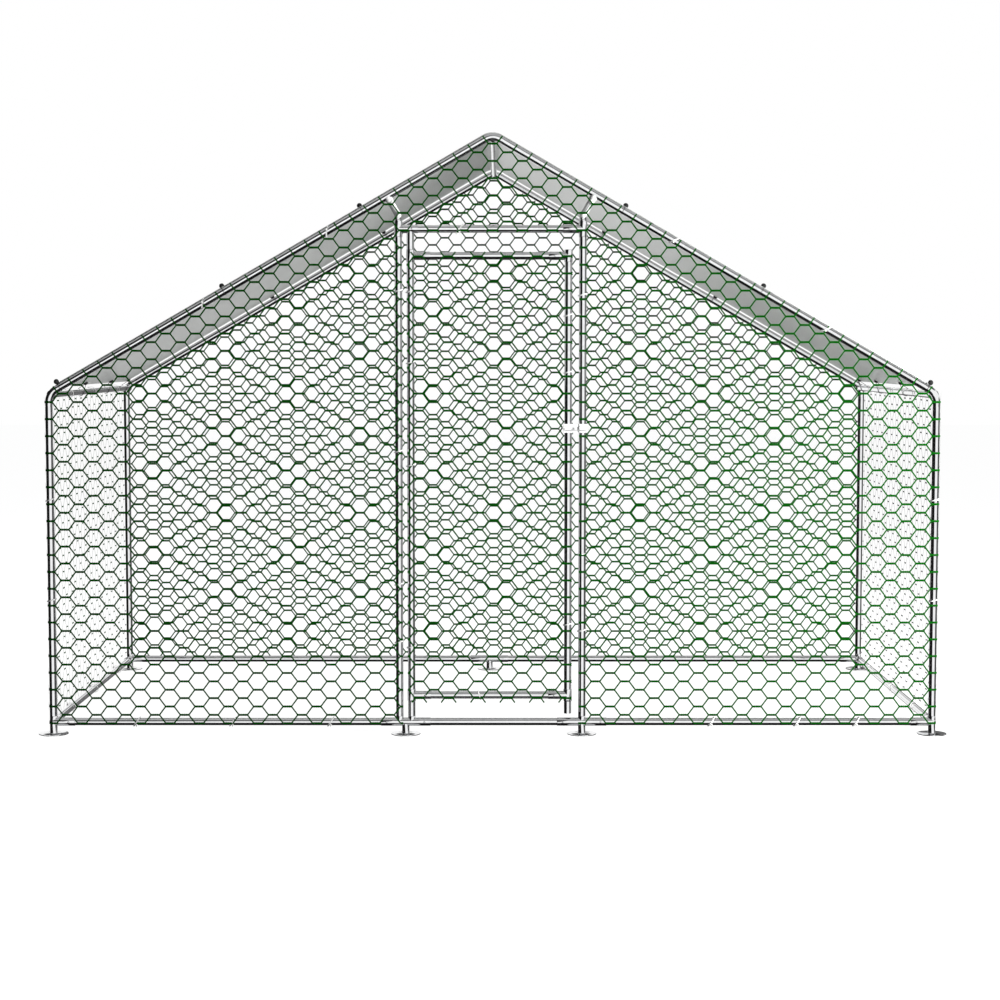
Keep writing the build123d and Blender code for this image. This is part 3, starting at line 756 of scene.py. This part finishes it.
@dataclass(frozen=True)
class Netting:
    """Hexagonal wire netting: level twists joined by slanting wires, wrapped round the frame as one band.

    Lengths along the band are in meshes, and other lengths in metres.
    """

    plan: Plan
    front_meshes: int = 30  # with a twist on each corner post
    left_start: float = 0.98  # place of a twist in the left side's netting, and in the right side's
    right_start: float = 0.56
    row: float = 0.02855  # height between rows of twists
    lowest: float = 0.039  # height of the lowest row
    trim: float = 0.004  # netting left under the lowest row
    twist: float = 0.2874
    half_turns: int = 4  # of the two wires in a twist
    wire: Pair = (0.0024, 0.0001)  # half width and half thickness of the coated wire
    strand: Pair = (0.0037, 0.0008)  # radius of a wire in a twist, and its distance from the twist's middle
    fine: float = 0.58  # gauge of the side netting as a share of the front's
    flatten: float = 0.22  # depth of a twist as a share of its height
    shortest: float = 0.05  # least share of a cut wire that is kept
    stand_off: float = 0.0157  # from the tubes' centre lines
    corner_lap: float = 0.148  # by which the front and back netting pass the corner posts' centres
    corner_gap: float = 0.2  # by which the side netting stops short of them
    latch_gap: Pair = (0.1, 0.4)  # room left and right of the latch barrel
    latch_room: float = 0.004  # room over and under it
    ragged: float = 0.011  # cut wire ends under the door's lowest twists

    @property
    def mesh(self) -> float:
        """Width of a mesh across the front."""
        return 2 * self.plan.half_width / self.front_meshes

    @property
    def side_meshes(self) -> float:
        """Meshes along a side, the turns round both corners included."""
        return (2 * self.plan.half_depth + math.pi * self.stand_off) / self.mesh

    def place(self, u: Array, v: Array, w: Array) -> Array:
        """Wrap band coordinates round the frame.

        The front runs straight for its meshes, then the band turns a quarter circle round the corner post,
        runs along the side and turns again. The back half is the front half turned half way round.

        Args:
            u: Place along the band in meshes, from the front left corner post.
            v: Height.
            w: Distance out of the band.

        Returns:
            Points with a last axis of three.
        """
        p, r = self.plan, self.stand_off
        half = self.front_meshes + self.side_meshes
        turned = np.where(u >= half, -1.0, 1.0)
        u = np.where(u >= half, u - half, u)
        quarter = r * math.pi / 2
        run = np.clip(u - self.front_meshes, 0, self.side_meshes) * self.mesh
        angle = np.clip(run / r, 0, math.pi / 2) + np.clip((run - quarter - 2 * p.half_depth) / r, 0, math.pi / 2)
        angle = angle - np.clip(-u * self.mesh / r, 0, math.pi / 2)
        x = np.clip(u, 0, self.front_meshes) * self.mesh - p.half_width + (r + w) * np.sin(angle)
        y = np.clip(run - quarter, 0, 2 * p.half_depth) - p.half_depth - (r + w) * np.cos(angle)
        return np.stack([turned * x, turned * y, v], axis=-1)

    def lines(self, first: float, last: float, top: float, start: float) -> tuple[Array, Array]:
        """Straight pieces of the netting between two places along the band.

        Args:
            first: Start in meshes.
            last: End in meshes.
            top: Highest row needed.
            start: Place of a twist in the lowest row, in meshes.

        Returns:
            Twists and slants, each of shape (n, 2, 2): both ends, as place along and height.
        """
        rows = np.arange(int((top - self.lowest) / self.row) + 2)[:, None]
        across = start + np.arange(math.floor(first - start) - 1, math.ceil(last - start) + 1)
        u = (across + (rows % 2) / 2).ravel()
        v = np.repeat(self.lowest + rows * self.row, len(across))
        half = self.twist / 2
        root = np.stack([u + half, v], axis=-1)
        twists = np.stack([np.stack([u - half, v], axis=-1), root], axis=1)
        tips = [np.stack([u + 0.5 - half, v + rise], axis=-1) for rise in (self.row, -self.row)]
        return twists, np.concatenate([np.stack([root, tip], axis=1) for tip in tips])

    def clip(self, lines: Array, limits: list[Triple]) -> tuple[Array, Array, Array]:
        """Cut straight lines to a convex outline.

        Args:
            lines: Ends of shape (n, 2, 2).
            limits: Triples a, b, c of the half planes a u + b v <= c.

        Returns:
            The kept lines, and the shares along each where it starts and stops.
        """
        start, stop = np.zeros(len(lines)), np.ones(len(lines))
        for a, b, c in limits:
            near, far = (lines @ np.array([a, b]) - c).T
            cut = near / np.where(near == far, 1, near - far)
            stop = np.where((near <= 0) & (far > 0), np.minimum(stop, cut), stop)
            start = np.where((near > 0) & (far <= 0), np.maximum(start, cut), start)
            stop = np.where((near > 0) & (far > 0), -1, stop)
        kept = stop - start > self.shortest
        return lines[kept], start[kept], stop[kept]

    def wires(self, form: Surface, lines: Array, start: Array, stop: Array) -> None:
        """Add slanting wires: four-sided bars, flatter than wide, along each line.

        Args:
            form: Surface to add to.
            lines: Ends of the lines.
            start: Share where each starts.
            stop: Share where each stops.
        """
        share = np.stack([start, stop], axis=1)[..., None]
        along = lines[:, :1] + (lines[:, 1:] - lines[:, :1]) * share
        run = unit((lines[:, 1] - lines[:, 0]) * np.array([self.mesh, 1.0]))
        ring = circle(1.0, 4) * np.array(self.wire)
        across = np.stack([-run[:, 1] / self.mesh, run[:, 0]], axis=-1)[:, None, None] * ring[:, :1]
        u = along[..., None, 0] + across[..., 0]
        v = along[..., None, 1] + across[..., 1]
        form.add(self.place(u, v, np.broadcast_to(-ring[:, 1], u.shape)))

    def twists(self, form: Surface, lines: Array, start: Array, stop: Array) -> None:
        """Add twists: two three-sided wires that wind round each other along each line.

        Args:
            form: Surface to add to.
            lines: Ends of the lines.
            start: Share where each starts.
            stop: Share where each stops.
        """
        share = start[:, None] + (stop - start)[:, None] * np.linspace(0, 1, 2 * self.half_turns + 1)
        u = (lines[:, :1, 0] + (lines[:, 1:, 0] - lines[:, :1, 0]) * share)[..., None]
        radius, lift = self.strand
        ring = circle(radius, 3)
        for phase in (0.0, math.pi):
            turn = (self.half_turns * math.pi * share + phase)[..., None]
            v = lines[:, :1, 1, None] + lift * np.cos(turn) + ring[:, 1]
            w = self.flatten * (lift * np.sin(turn) + ring[:, 0])
            form.add(self.place(np.broadcast_to(u, v.shape), v, w))

    def panel(
        self, node: str, body: Body, span: Pair, limits: list[Triple], hole: Pairs = (), start: float = 0.0
    ) -> None:
        """Make one panel of netting.

        Args:
            node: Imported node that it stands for.
            body: Body that it rides.
            span: First and last place along the band, in meshes.
            limits: Half planes that bound it.
            hole: Lowest and highest place along and height of a gap left for a fitting.
            start: Place of a twist in the lowest row, in meshes.
        """
        form = Surface()
        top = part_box(node)[1][2] + 2 * self.row
        for lines, make in zip(self.lines(*span, top, start), (self.twists, self.wires)):
            if hole:
                centre = lines.mean(axis=1)
                inside = (centre > np.array(hole[0])) & (centre < np.array(hole[1]))
                lines = lines[~inside.all(axis=1)]
            make(form, *self.clip(lines, [(-1, 0, -span[0]), (1, 0, span[1]), *limits]))
        panel = form.piece(f"{node}_wire", body, WIRE, (node,), weld=False)
        panel.visible_glossy = False

    def along(self, x: float) -> float:
        """Place along the front, in meshes, of a place across it."""
        return (x + self.plan.half_width) / self.mesh

    def panels(self) -> None:
        """Make all the panels: front, gable, door, back and sides."""
        p, n, half = self.plan, self.front_meshes, self.front_meshes + self.side_meshes
        slope = math.tan(ROOF_PITCH) * self.mesh
        rise = p.eave + p.tube / math.cos(ROOF_PITCH)
        foot = (0, -1, -(self.lowest - self.trim))
        under = [(-slope, 1, rise), (slope, 1, rise + n * slope), foot]
        behind = [(-slope, 1, rise - half * slope), (slope, 1, rise + (n + half) * slope), foot]
        left, right = self.along(p.hinge_post + p.tube), self.along(p.latch_post - p.tube)
        low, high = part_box("latch_barrel")
        gap = (
            (self.along(low[0]) - self.latch_gap[0], low[2] - self.latch_room),
            (self.along(high[0]) + self.latch_gap[1], high[2] + self.latch_room),
        )
        lap, turn = self.corner_lap, self.corner_gap
        self.panel("front_left_net", Body.FRAME, (-lap, left), under)
        self.panel("front_right_net", Body.FRAME, (right, n + lap), under, gap)
        self.panel("gable_net", Body.FRAME, (left, right), [*under, (0, -1, -(p.header - p.tube))])
        door = [(0, -1, -(p.door_bottom - p.tube - self.ragged)), (0, 1, p.door_top + p.tube)]
        stiles = (self.along(p.hinge_stile - p.tube), self.along(p.latch_stile + p.tube))
        self.panel("door_net", Body.DOOR, stiles, door, gap)
        self.panel("back_net", Body.FRAME, (half - lap, half + n + lap), behind, start=half)
        eaves = [foot, (0, 1, middle("left_eave_rail")[2] + p.tube / 2)]
        gauge = np.array([self.fine, 1.0])
        sides = replace(self, wire=tuple(gauge * self.wire), strand=tuple(gauge * self.strand))
        sides.panel("right_side_net", Body.FRAME, (n + turn, half - turn), eaves, start=self.right_start)
        sides.panel("left_side_net", Body.FRAME, (half + n + turn, 2 * half - turn), eaves, start=self.left_start)


@dataclass(frozen=True)
class Cover:
    """Cloth roof cover stretched over the front rafters and the ridge; sizes in metres."""

    plan: Plan
    rise: float = 0.0131  # from the rafter line to the middle of the cloth
    thickness: float = 0.0009
    eave_setback: float = 0.022  # slope left bare at the eaves
    corner_rise: float = 0.032  # length up the slope of the front corners' slanting cut
    corner_depth: float = 0.046  # its depth
    corner_fade: float = 0.3  # length in depth over which it draws the cloth back
    front_lap: float = 0.004  # past the front rafters' centre line
    back_setback: float = 0.08  # left bare in front of the back rafters' centre line
    ridge_radius: float = 0.05
    hem_radius: float = 0.0012
    hem_width: float = 0.0095
    sag: float = 0.01  # dip in the middle of each slope
    sag_power: float = 0.7  # below 1, the dip is fuller towards the hems
    ripple: float = 0.0012  # height of the pull marks between the bungees
    waves: tuple[Triple, ...] = ((0.213, 1.0, 0.0), (0.127, 0.6, 1.3))  # their lengths, shares and phases
    slope_points: int = 60
    depth_points: int = 62

    @property
    def front_edge(self) -> float:
        """Depth of the front hem."""
        return self.plan.front - self.front_lap

    @property
    def back_edge(self) -> float:
        """Depth of the back hem."""
        return self.plan.half_depth - self.back_setback

    def section(self) -> tuple[Array, Array, Array]:
        """Line of the cloth across the roof: slope, ridge arc, slope.

        Returns:
            Points (n, 2) of the rafter line across and up, unit normals (n, 2), and the place on the slope
            from 0 at the eave to 1 at the ridge and back to 0.
        """
        p = self.plan
        length = p.half_width / math.cos(ROOF_PITCH) - self.ridge_radius * math.tan(ROOF_PITCH)
        cut = self.eave_setback + self.corner_rise * np.array([0, 0.25, 0.5, 0.75])
        along = np.concatenate([cut, np.linspace(self.eave_setback + self.corner_rise, length, self.slope_points)])
        turn = np.linspace(ROOF_PITCH, 0, 6)[1:]
        up, off = p.up(-1)[[0, 2]], p.off(-1)[[0, 2]]
        slope = np.array([-p.half_width, p.eave]) + along[:, None] * up
        centre = np.array([0, p.apex - self.ridge_radius / math.cos(ROOF_PITCH)])
        normal = np.stack([-np.sin(turn), np.cos(turn)], axis=-1)
        half = np.vstack([slope, centre + self.ridge_radius * normal])
        normals = np.vstack([np.broadcast_to(off, slope.shape), normal])
        share = np.concatenate([(along - along[0]) / (length - along[0]), np.ones(len(turn))])
        mirror = np.array([-1, 1])
        line = np.vstack([half, half[-2::-1] * mirror])
        return line, np.vstack([normals, normals[-2::-1] * mirror]), np.concatenate([share, share[-2::-1]])

    def hem(self) -> Array:
        """Line of a hem in depth: the cloth folds up and turns back over itself.

        Returns:
            Points (n, 2) of distance back from the edge and height off the rafter line, starting on the cloth.
        """
        r = self.hem_radius
        turn = np.linspace(0, math.pi, 9)
        fold = np.stack([r - r * np.sin(turn), self.rise + r - r * np.cos(turn)], axis=-1)
        return np.vstack([fold, [[r + self.hem_width * part, self.rise + 2 * r] for part in (0.5, 1.0)]])

    def make(self) -> None:
        """Make the sheet: slopes that sag between the hems, pull marks at the bungees, folded hems.

        Height off the roof is the hem line's height, less the sag (largest mid-slope and mid-depth), less
        ripples that run up the slope, strongest near the hems and dying towards the middle.
        """
        line, normal, share = self.section()
        hem = self.hem()
        flat = np.linspace(self.front_edge + hem[0, 0], self.back_edge - hem[0, 0], self.depth_points)[1:-1]
        depth = np.concatenate([self.front_edge + hem[::-1, 0], flat, self.back_edge - hem[:, 0]])
        height = np.concatenate([hem[::-1, 1], np.full(len(flat), self.rise), hem[:, 1]])
        across, run = travelled(line), travelled(np.stack([depth, height], axis=-1))
        centre, half = (self.front_edge + self.back_edge) / 2, (self.back_edge - self.front_edge) / 2
        span = np.clip(1 - ((depth - centre) / (half - 2 * self.hem_width)) ** 2, 0, 1)
        hump = np.sin(math.pi * share)[:, None]
        wave = sum(part * np.cos(2 * math.pi * across / length + phase) for length, part, phase in self.waves)
        pull = self.ripple * wave[:, None] * span * (1 - span) * 2 * hump
        offset = height - self.sag * hump * span ** self.sag_power - np.abs(pull)
        spot = line[:, None] + normal[:, None] * offset[..., None]
        rise = np.minimum(across, across[-1] - across)
        cut = self.corner_depth * np.clip(1 - rise / self.corner_rise, 0, 1)[:, None]
        inward = depth - self.front_edge - 3 * self.hem_width
        depth = depth + cut * np.clip(1 - inward / self.corner_fade, 0, 1)
        form = Surface()
        uv = np.stack(np.broadcast_arrays(across[:, None], run), axis=-1)
        form.add(np.stack([spot[..., 0], depth, spot[..., 1]], axis=-1), wrap_cols=False, uv=uv)
        cloth = form.piece("cover_sheet", Body.FRAME, CLOTH, ("roof_cover",), weld=False)
        thick = cloth.modifiers.new("cloth", "SOLIDIFY")
        thick.thickness = self.thickness
        thick.offset = 0


@dataclass(frozen=True)
class Bungees:
    """Ball bungees that hold the cover: a moulded ball, an elastic loop round a tube and an eyelet in the cloth.

    Sizes are in metres, and places along run up the slope from the eave corner.
    """

    plan: Plan
    cover: Cover
    form: Surface = field(default_factory=Surface)
    ball: float = 0.009
    groove: Pair = (0.04, 0.12)  # depth as a share of the ball's radius, and half width in radians
    cord: float = 0.0009
    cord_gap: float = 0.0003  # room between a cord and its tube
    cord_lift: float = 0.0024  # from the middle of the cloth to a cord that passes it
    at_eave: Pair = (0.0425, 0.036)  # places along of the left and right front corner balls
    eave_along: float = 0.038  # and of the other balls
    front_along: Pair = (0.681, 1.216)
    back_along: Pair = (0.7, 1.216)
    front_inset: float = 0.035  # behind the front rafters
    corner_inset: float = 0.03  # of the rearmost eave balls, in front of the cover's back hem
    bays: int = 3  # equal parts between the eave balls
    eye: float = 0.005
    eye_section: Pair = (0.0013, 0.0016)  # half height and half width of an eyelet's ring
    eye_inset: float = 0.014  # from the cloth's edge
    hem_clear: float = 0.0036  # extra room for a loop over the hem

    def moulded(self, seat: Array, off: Array) -> None:
        """Add a ball with a groove where its cord enters.

        Args:
            seat: Centre of the ball.
            off: Direction out of the roof.
        """
        depth, width = self.groove
        turn = np.linspace(0, math.pi, 15)
        dent = 1 - depth * np.exp(-(((turn - math.pi / 2) / width) ** 2))
        ball = self.ball * np.stack([-np.cos(turn), dent * np.sin(turn)], axis=-1)
        self.form.add(lathe(seat, off, ball, BALL_SIDES))

    def eyelet(self, spot: Array, off: Array) -> None:
        """Add the metal ring of an eyelet at a spot in the middle of the cloth, facing out of the roof."""
        ring = circle(1.0, 8) * np.array(self.eye_section) + np.array([0, self.eye])
        self.form.add(lathe(spot, off, ring, BALL_SIDES), wrap_rows=True, part=1)

    def loop(self, seat: Array, tube: Array, run: Array, over: Array) -> None:
        """Add a loop of cord from a ball round a tube and back.

        Args:
            seat: Centre of the ball.
            tube: Point on the tube's centre line.
            run: Direction along the tube.
            over: Side on which the loop passes over the hem, or zero where there is no hem.
        """
        reach = self.plan.tube + self.cord + self.cord_gap
        arm = unit(seat - tube)
        spread = math.acos(reach / np.linalg.norm(seat - tube))
        turn = np.linspace(spread, 2 * math.pi - spread, 25)[:, None]
        way = np.cos(turn) * arm + np.sin(turn) * np.cross(run, arm)
        room = reach + self.hem_clear * np.clip(2 * way @ over, 0, 1)[:, None]
        self.form.add(sweep(np.vstack([seat, tube + room * way, seat]), circle(self.cord, 8), run))

    def tie(self, seat: Array, eye: Array, off: Array) -> None:
        """Add an eyelet and the short loop of cord from a ball through it, over and under the cloth's edge.

        Args:
            seat: Centre of the ball.
            eye: Centre of the eyelet.
            off: Direction out of the roof.
        """
        self.eyelet(eye, off)
        lift = self.cord_lift * off
        centre = (seat + eye) / 2
        path = np.array([seat, centre + lift, eye + lift, eye - lift, centre - lift, seat])
        self.form.add(sweep(path, circle(self.cord, 6), np.cross(off, eye - seat)))

    def front(self, sign: int) -> None:
        """Add a slope's front bungees: balls that stand on the cloth, and one on the corner elbow.

        Args:
            sign: Side of the roof (-1 left, +1 right).
        """
        p, up, off = self.plan, self.plan.up(sign), self.plan.off(sign)
        corner = p.corner(sign, p.front)
        half_cloth = self.cover.thickness / 2
        for along in self.front_along:
            tube = corner + up * along
            seat = tube + Y * self.front_inset + off * (self.cover.rise + half_cloth + self.ball)
            self.moulded(seat, off)
            self.eyelet(seat - off * (self.ball + half_cloth), off)
            self.loop(seat, tube, up, off)
        tube = corner + up * self.at_eave[sign > 0]
        seat = tube + off * (p.tube + self.ball)
        self.moulded(seat, off)
        self.loop(seat, tube, up, 0 * off)

    def edges(self, side: str, sign: int) -> None:
        """Add a slope's back bungees, beside the hem, and its eave bungees, drawn tight on both faces of the cloth.

        Args:
            side: Name of the side.
            sign: Side of the roof (-1 left, +1 right).
        """
        p, up, off = self.plan, self.plan.up(sign), self.plan.off(sign)
        level = p.corner(sign, 0) + off * self.cover.rise
        back, cloth = self.cover.back_edge, self.cover.thickness
        for along in self.back_along:
            seat = level + up * along + Y * (back + self.ball)
            self.moulded(seat, off)
            self.tie(seat, level + up * along + Y * (back - self.eye_inset), off)
            self.loop(seat, p.corner(sign, p.half_depth) + up * along, up, 0 * off)
        rail = middle(f"{side}_eave_rail")
        bays = [p.front + 2 * p.half_depth * bay / self.bays for bay in range(1, self.bays)]
        half_ball = [(cloth, 0), (cloth, self.ball - self.cord_gap), *dome(self.ball, 19)[10:]]
        for y in (*bays, back - self.corner_inset):
            seat = level + up * self.eave_along + Y * y
            for way in (off, -off):
                self.form.add(lathe(seat, way, half_ball, BALL_SIDES))
            self.loop(seat - off * self.ball / 2, np.array([rail[0], y, rail[2]]), Y, 0 * off)

    def make(self) -> None:
        """Make all the bungees as one set."""
        for side, sign in SIDES.items():
            self.front(sign)
            self.edges(side, sign)
        self.form.piece("ball_bungee_set", Body.FRAME, RUBBER, ("bungee_balls",), second=ZINC)


@dataclass(frozen=True)
class CableTies:
    """White cable ties that bind the netting to the tubes; sizes in metres, angles in radians."""

    plan: Plan
    width: float = 0.0036
    thickness: float = 0.0011
    slack: float = 0.0034  # room between a tube and its strap
    head: float = 0.0045
    head_section: Pair = (0.6, 0.75)  # half depth and half width in head sizes
    head_lift: float = 0.0008  # from the strap to the head's middle
    tail: float = 0.009
    slant: float = 0.7  # rise of a strap against its way across a rail or rafter
    level: float = -0.25  # the same on an upright
    base_lean: float = 0.5  # angles of the heads round their tubes
    rafter_lean: float = -0.4
    rail_lean: float = 0.6
    behind: float = 2.6
    base: Floats = (-1.205, -0.88, -0.548, 0.74, 1.031, 1.231)  # places across
    rafters: Floats = (-0.968, -0.552, 0.605, 1.115)
    header: float = -0.11
    door_rail: float = -0.0445
    side_posts: Floats = (0.456, 0.795)  # heights
    hinge_post: Floats = (0.315, 0.511, 0.959, 1.495)
    latch_post: Floats = (0.354, 0.612, 1.482)
    hinge_stile: Floats = (0.298, 0.912, 1.256, 1.493)
    latch_stile: Floats = (0.375, 1.224, 1.414)
    side_rails: Floats = (0.2, 0.48, 0.8)  # shares of the depth

    def tie(
        self, form: Surface, spot: Array, run: Array, out: Array, lean: float, slant: float
    ) -> None:
        """Add one tie: a strap round the tube, a ribbed head, and the strap's free tail.

        Args:
            form: Surface to add to.
            spot: Point on the tube's centre line.
            run: Direction along the tube.
            out: Direction from the tube towards the netting.
            lean: Angle of the head round the tube, from out.
            slant: Rise of the strap against run, as a share of its way across the tube.
        """
        side = np.cross(run, out)
        radius = self.plan.tube + self.slack
        turn = np.linspace(0, 2 * math.pi, 24, endpoint=False)[:, None]
        strap = np.array([[-1, -1], [1, -1], [1, 1], [-1, 1]]) * np.array([self.thickness, self.width]) / 2
        ring = spot + radius * (np.cos(turn) * out + np.sin(turn) * (side - slant * run))
        form.add(sweep(ring, strap, run, closed=True), wrap_rows=True)
        arm = math.cos(lean) * out + math.sin(lean) * side
        way = math.cos(lean) * side - math.sin(lean) * out
        seat = spot + (radius + self.head_lift) * arm
        block = circle(1.0, 8) * np.array(self.head_section) * self.head * TIE_HEAD[:, 1:, None]
        form.add(sweep(seat + TIE_HEAD[:, :1] * self.head * way, block, run))
        share = np.linspace(0, 1, 6)[:, None]
        tail = seat + (share * self.tail) * (0.8 * way + 0.5 * arm * (1 - 0.4 * share))
        form.add(sweep(tail, strap * (1 - 0.45 * share[..., None]), run))

    def make(self) -> None:
        """Bind the front netting along base rails, rafters, posts, header and door, and the side rails."""
        p = self.plan
        fixed, moving = Surface(), Surface()
        spots = [(p.at(x, p.base), X, -Y, self.base_lean, self.slant) for x in self.base]
        for x in self.rafters:
            spots.append((p.at(x, p.roof(x)), p.up(1 if x > 0 else -1), -Y, self.rafter_lean, self.slant))
        posts = [(-p.half_width, self.side_posts), (p.half_width, self.side_posts)]
        for x, heights in [*posts, (p.hinge_post, self.hinge_post), (p.latch_post, self.latch_post)]:
            spots += [(p.at(x, z), Z, -Y, self.behind, self.level) for z in heights]
        spots.append((p.at(self.header, p.header), X, -Y, self.rail_lean, self.slant))
        for side, sign in SIDES.items():
            for rail in (f"{side}_eave_rail", f"{side}_base_rail"):
                places = [middle(rail) + Y * (share - 0.5) * 2 * p.half_depth for share in self.side_rails]
                spots += [(place, Y, sign * X, self.rail_lean, self.slant) for place in places]
        for spot in spots:
            self.tie(fixed, *spot)
        for x, heights in ((p.hinge_stile, self.hinge_stile), (p.latch_stile, self.latch_stile)):
            for z in heights:
                self.tie(moving, p.at(x, z), Z, -Y, self.behind, self.level)
        self.tie(moving, p.at(self.door_rail, p.door_bottom), X, -Y, self.behind, self.level)
        fixed.piece("frame_cable_ties", Body.FRAME, NYLON)
        moving.piece("door_cable_ties", Body.DOOR, NYLON)


def dress() -> None:
    """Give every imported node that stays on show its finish."""
    for name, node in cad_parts.items():
        if node.hide_render:
            continue
        finish = ZINC if name.startswith("latch_") and not name.endswith(("post", "stile")) else GALVANISED
        for slot in node.material_slots:
            slot.material = finish.material()
        if not node.material_slots:
            node.data.materials.append(finish.material())


@dataclass(frozen=True)
class Studio:
    """Camera, floor, surround and lights for the white studio view; sizes in metres.

    Bands are pairs of a direction's share and the brightness there, for what the bright tubes mirror.
    """

    eye: Triple = (0.0247, -7.7193, 1.286)
    look_down: float = math.radians(4.022)
    lens: float = 75.0
    sensor: float = 36.0
    floor_half: float = 30.0
    floor_grey: float = 0.2  # scattered by the floor, besides its glow
    floor_glow: float = 0.955
    ambient: Floats = (0.95, 0.98, 1, 1)
    ambient_strength: float = 0.16
    behind_bands: Pairs = ((0.6, 0.0), (0.7, 1.0))  # share of the back wall, by direction in depth
    front_bands: Pairs = ((-0.32, 0.01), (-0.28, 1.0), (0.84, 1.0), (0.88, 0.06))  # walls, by direction across
    back_bands: Pairs = ((-0.45, 0.01), (-0.4, 1.0), (0.02, 1.0), (0.1, 0.15))
    wall_lean: float = -0.55  # change of that direction with height
    height_bands: Pairs = ((-0.48, 0.01), (0.54, 0.03), (0.7, 0.03), (0.75, 0.42))  # floor and ceiling, by height
    overhead_bands: Pairs = ((-0.5, 1.0), (-0.46, 0.0), (0.53, 0.0), (0.57, 1.0))  # their share against the walls
    back_drop: float = 0.3  # rise of that height on the back wall
    aim: Triple = (0.0, 0.0, 0.9)
    # Name, place, side and watts
    lamps: tuple[tuple[str, Triple, float, float], ...] = (
        ("key", (3.0, -2.4, 1.4), 1.0, 260),
        ("top", (0.5, 0.8, 7.0), 4.0, 260),
    )

    def camera(self) -> None:
        """Place the camera that matches the photograph's view."""
        data = bpy.data.cameras.new("view")
        data.lens = self.lens
        data.sensor_width = self.sensor
        thing = placed("view", data)
        thing.location = self.eye
        thing.rotation_euler = (math.pi / 2 - self.look_down, 0, 0)
        bpy.context.scene.camera = thing

    @staticmethod
    def bands(tree: Tree, value: Socket, stops: Pairs) -> Socket:
        """Add a grey ramp over a value from -1 to 1, from pairs of value and brightness in rising order."""
        share = link(tree, "MapRange", Value=value, From_Min=-1.0, From_Max=1.0).outputs["Result"]
        return ramp(tree, share, [((at + 1) / 2, (level, level, level)) for at, level in stops])

    def surround(self, tree: Tree) -> Socket:
        """Add the surround that the bright tubes mirror: white wall, dark side flags, grey ceiling, dark floor.

        Args:
            tree: World tree to add to.

        Returns:
            Socket with its brightness for the direction looked in.
        """
        place = link(tree, "TexCoord").outputs["Generated"]
        x, y, z = link(tree, "SeparateXYZ", place).outputs
        behind = self.bands(tree, y, self.behind_bands)
        sideways = arithmetic(tree, "MULTIPLY_ADD", z, self.wall_lean, x)
        walls = [self.bands(tree, sideways, stops) for stops in (self.front_bands, self.back_bands)]
        upward = arithmetic(tree, "MULTIPLY_ADD", behind, self.back_drop, z)
        height = self.bands(tree, upward, self.height_bands)
        overhead = self.bands(tree, upward, self.overhead_bands)
        return mixed(tree, overhead, mixed(tree, behind, *walls), height)

    def world(self) -> None:
        """Make the surround: white to the camera, painted in reflections, dimmer where it lights the object."""
        world = bpy.data.worlds.new("studio")
        bpy.context.scene.world = world
        tree = cleared(world)
        path = link(tree, "LightPath").outputs
        shown = link(tree, "Background", Color=self.ambient, Strength=self.ambient_strength)
        painted = link(tree, "Background", Color=self.surround(tree), Strength=1.0)
        white = link(tree, "Background", Color=WHITE, Strength=1.0)
        for ray, look in (("Is Glossy Ray", painted), ("Is Camera Ray", white), ("Is Transmission Ray", white)):
            shown = link(tree, "MixShader", path[ray], shown.outputs[0], look.outputs[0])
        link(tree, "OutputWorld", Surface=shown.outputs[0])

    def floor(self) -> None:
        """Make the pale floor: its material glows white for camera, glossy and transmission rays and darkens in
        shadow; glossy rays never see the floor.
        """
        s = self.floor_half
        form = Surface()
        form.add(np.array([[(-s, -s, 0), (s, -s, 0)], [(-s, s, 0), (s, s, 0)]]), wrap_cols=False)
        floor = placed("floor", form.mesh("floor", weld=False))
        made = bpy.data.materials.new("pale_floor")
        tree = cleared(made)
        path = link(tree, "LightPath").outputs
        seen = arithmetic(tree, "MAXIMUM", path["Is Camera Ray"], path["Is Glossy Ray"])
        seen = arithmetic(tree, "MAXIMUM", seen, path["Is Transmission Ray"])
        matt = link(tree, "BsdfDiffuse", Color=(*[self.floor_grey] * 3, 1))
        glow = link(tree, "Emission", Color=WHITE, Strength=arithmetic(tree, "MULTIPLY", seen, self.floor_glow))
        both = link(tree, "AddShader", matt.outputs[0], glow.outputs[0])
        link(tree, "OutputMaterial", Surface=both.outputs[0])
        floor.data.materials.append(made)
        floor.visible_glossy = False

    def lamp(self, name: str, place: Triple, size: float, watts: float) -> None:
        """Add a soft square lamp that faces the aim.

        Args:
            name: Object name.
            place: Where it hangs.
            size: Side of the lamp.
            watts: Power.
        """
        data = bpy.data.lights.new(name, "AREA")
        data.size = size
        data.energy = watts
        thing = placed(name, data)
        thing.location = place
        way = unit(np.array(self.aim) - np.array(place))
        thing.rotation_euler = (math.acos(-way[2]), 0, math.atan2(way[1], way[0]) - math.pi / 2)
        thing.visible_camera = False
        thing.visible_glossy = False

    def build(self) -> None:
        """Set up the whole studio."""
        self.camera()
        self.world()
        self.floor()
        for lamp in self.lamps:
            self.lamp(*lamp)
        bpy.context.scene.view_settings.view_transform = "Standard"


def main() -> None:
    """Build every piece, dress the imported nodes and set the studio."""
    logging.basicConfig(level=logging.INFO)
    plan = Plan.read()
    fittings = Fittings(plan)
    fittings.feet()
    fittings.elbows()
    fittings.tees()
    fittings.rafter_tees()
    Netting(plan).panels()
    cover = Cover(plan)
    cover.make()
    Bungees(plan, cover).make()
    CableTies(plan).make()
    dress()
    Studio().build()
    bpy.context.view_layer.update()


if __name__ == "__main__":
    main()
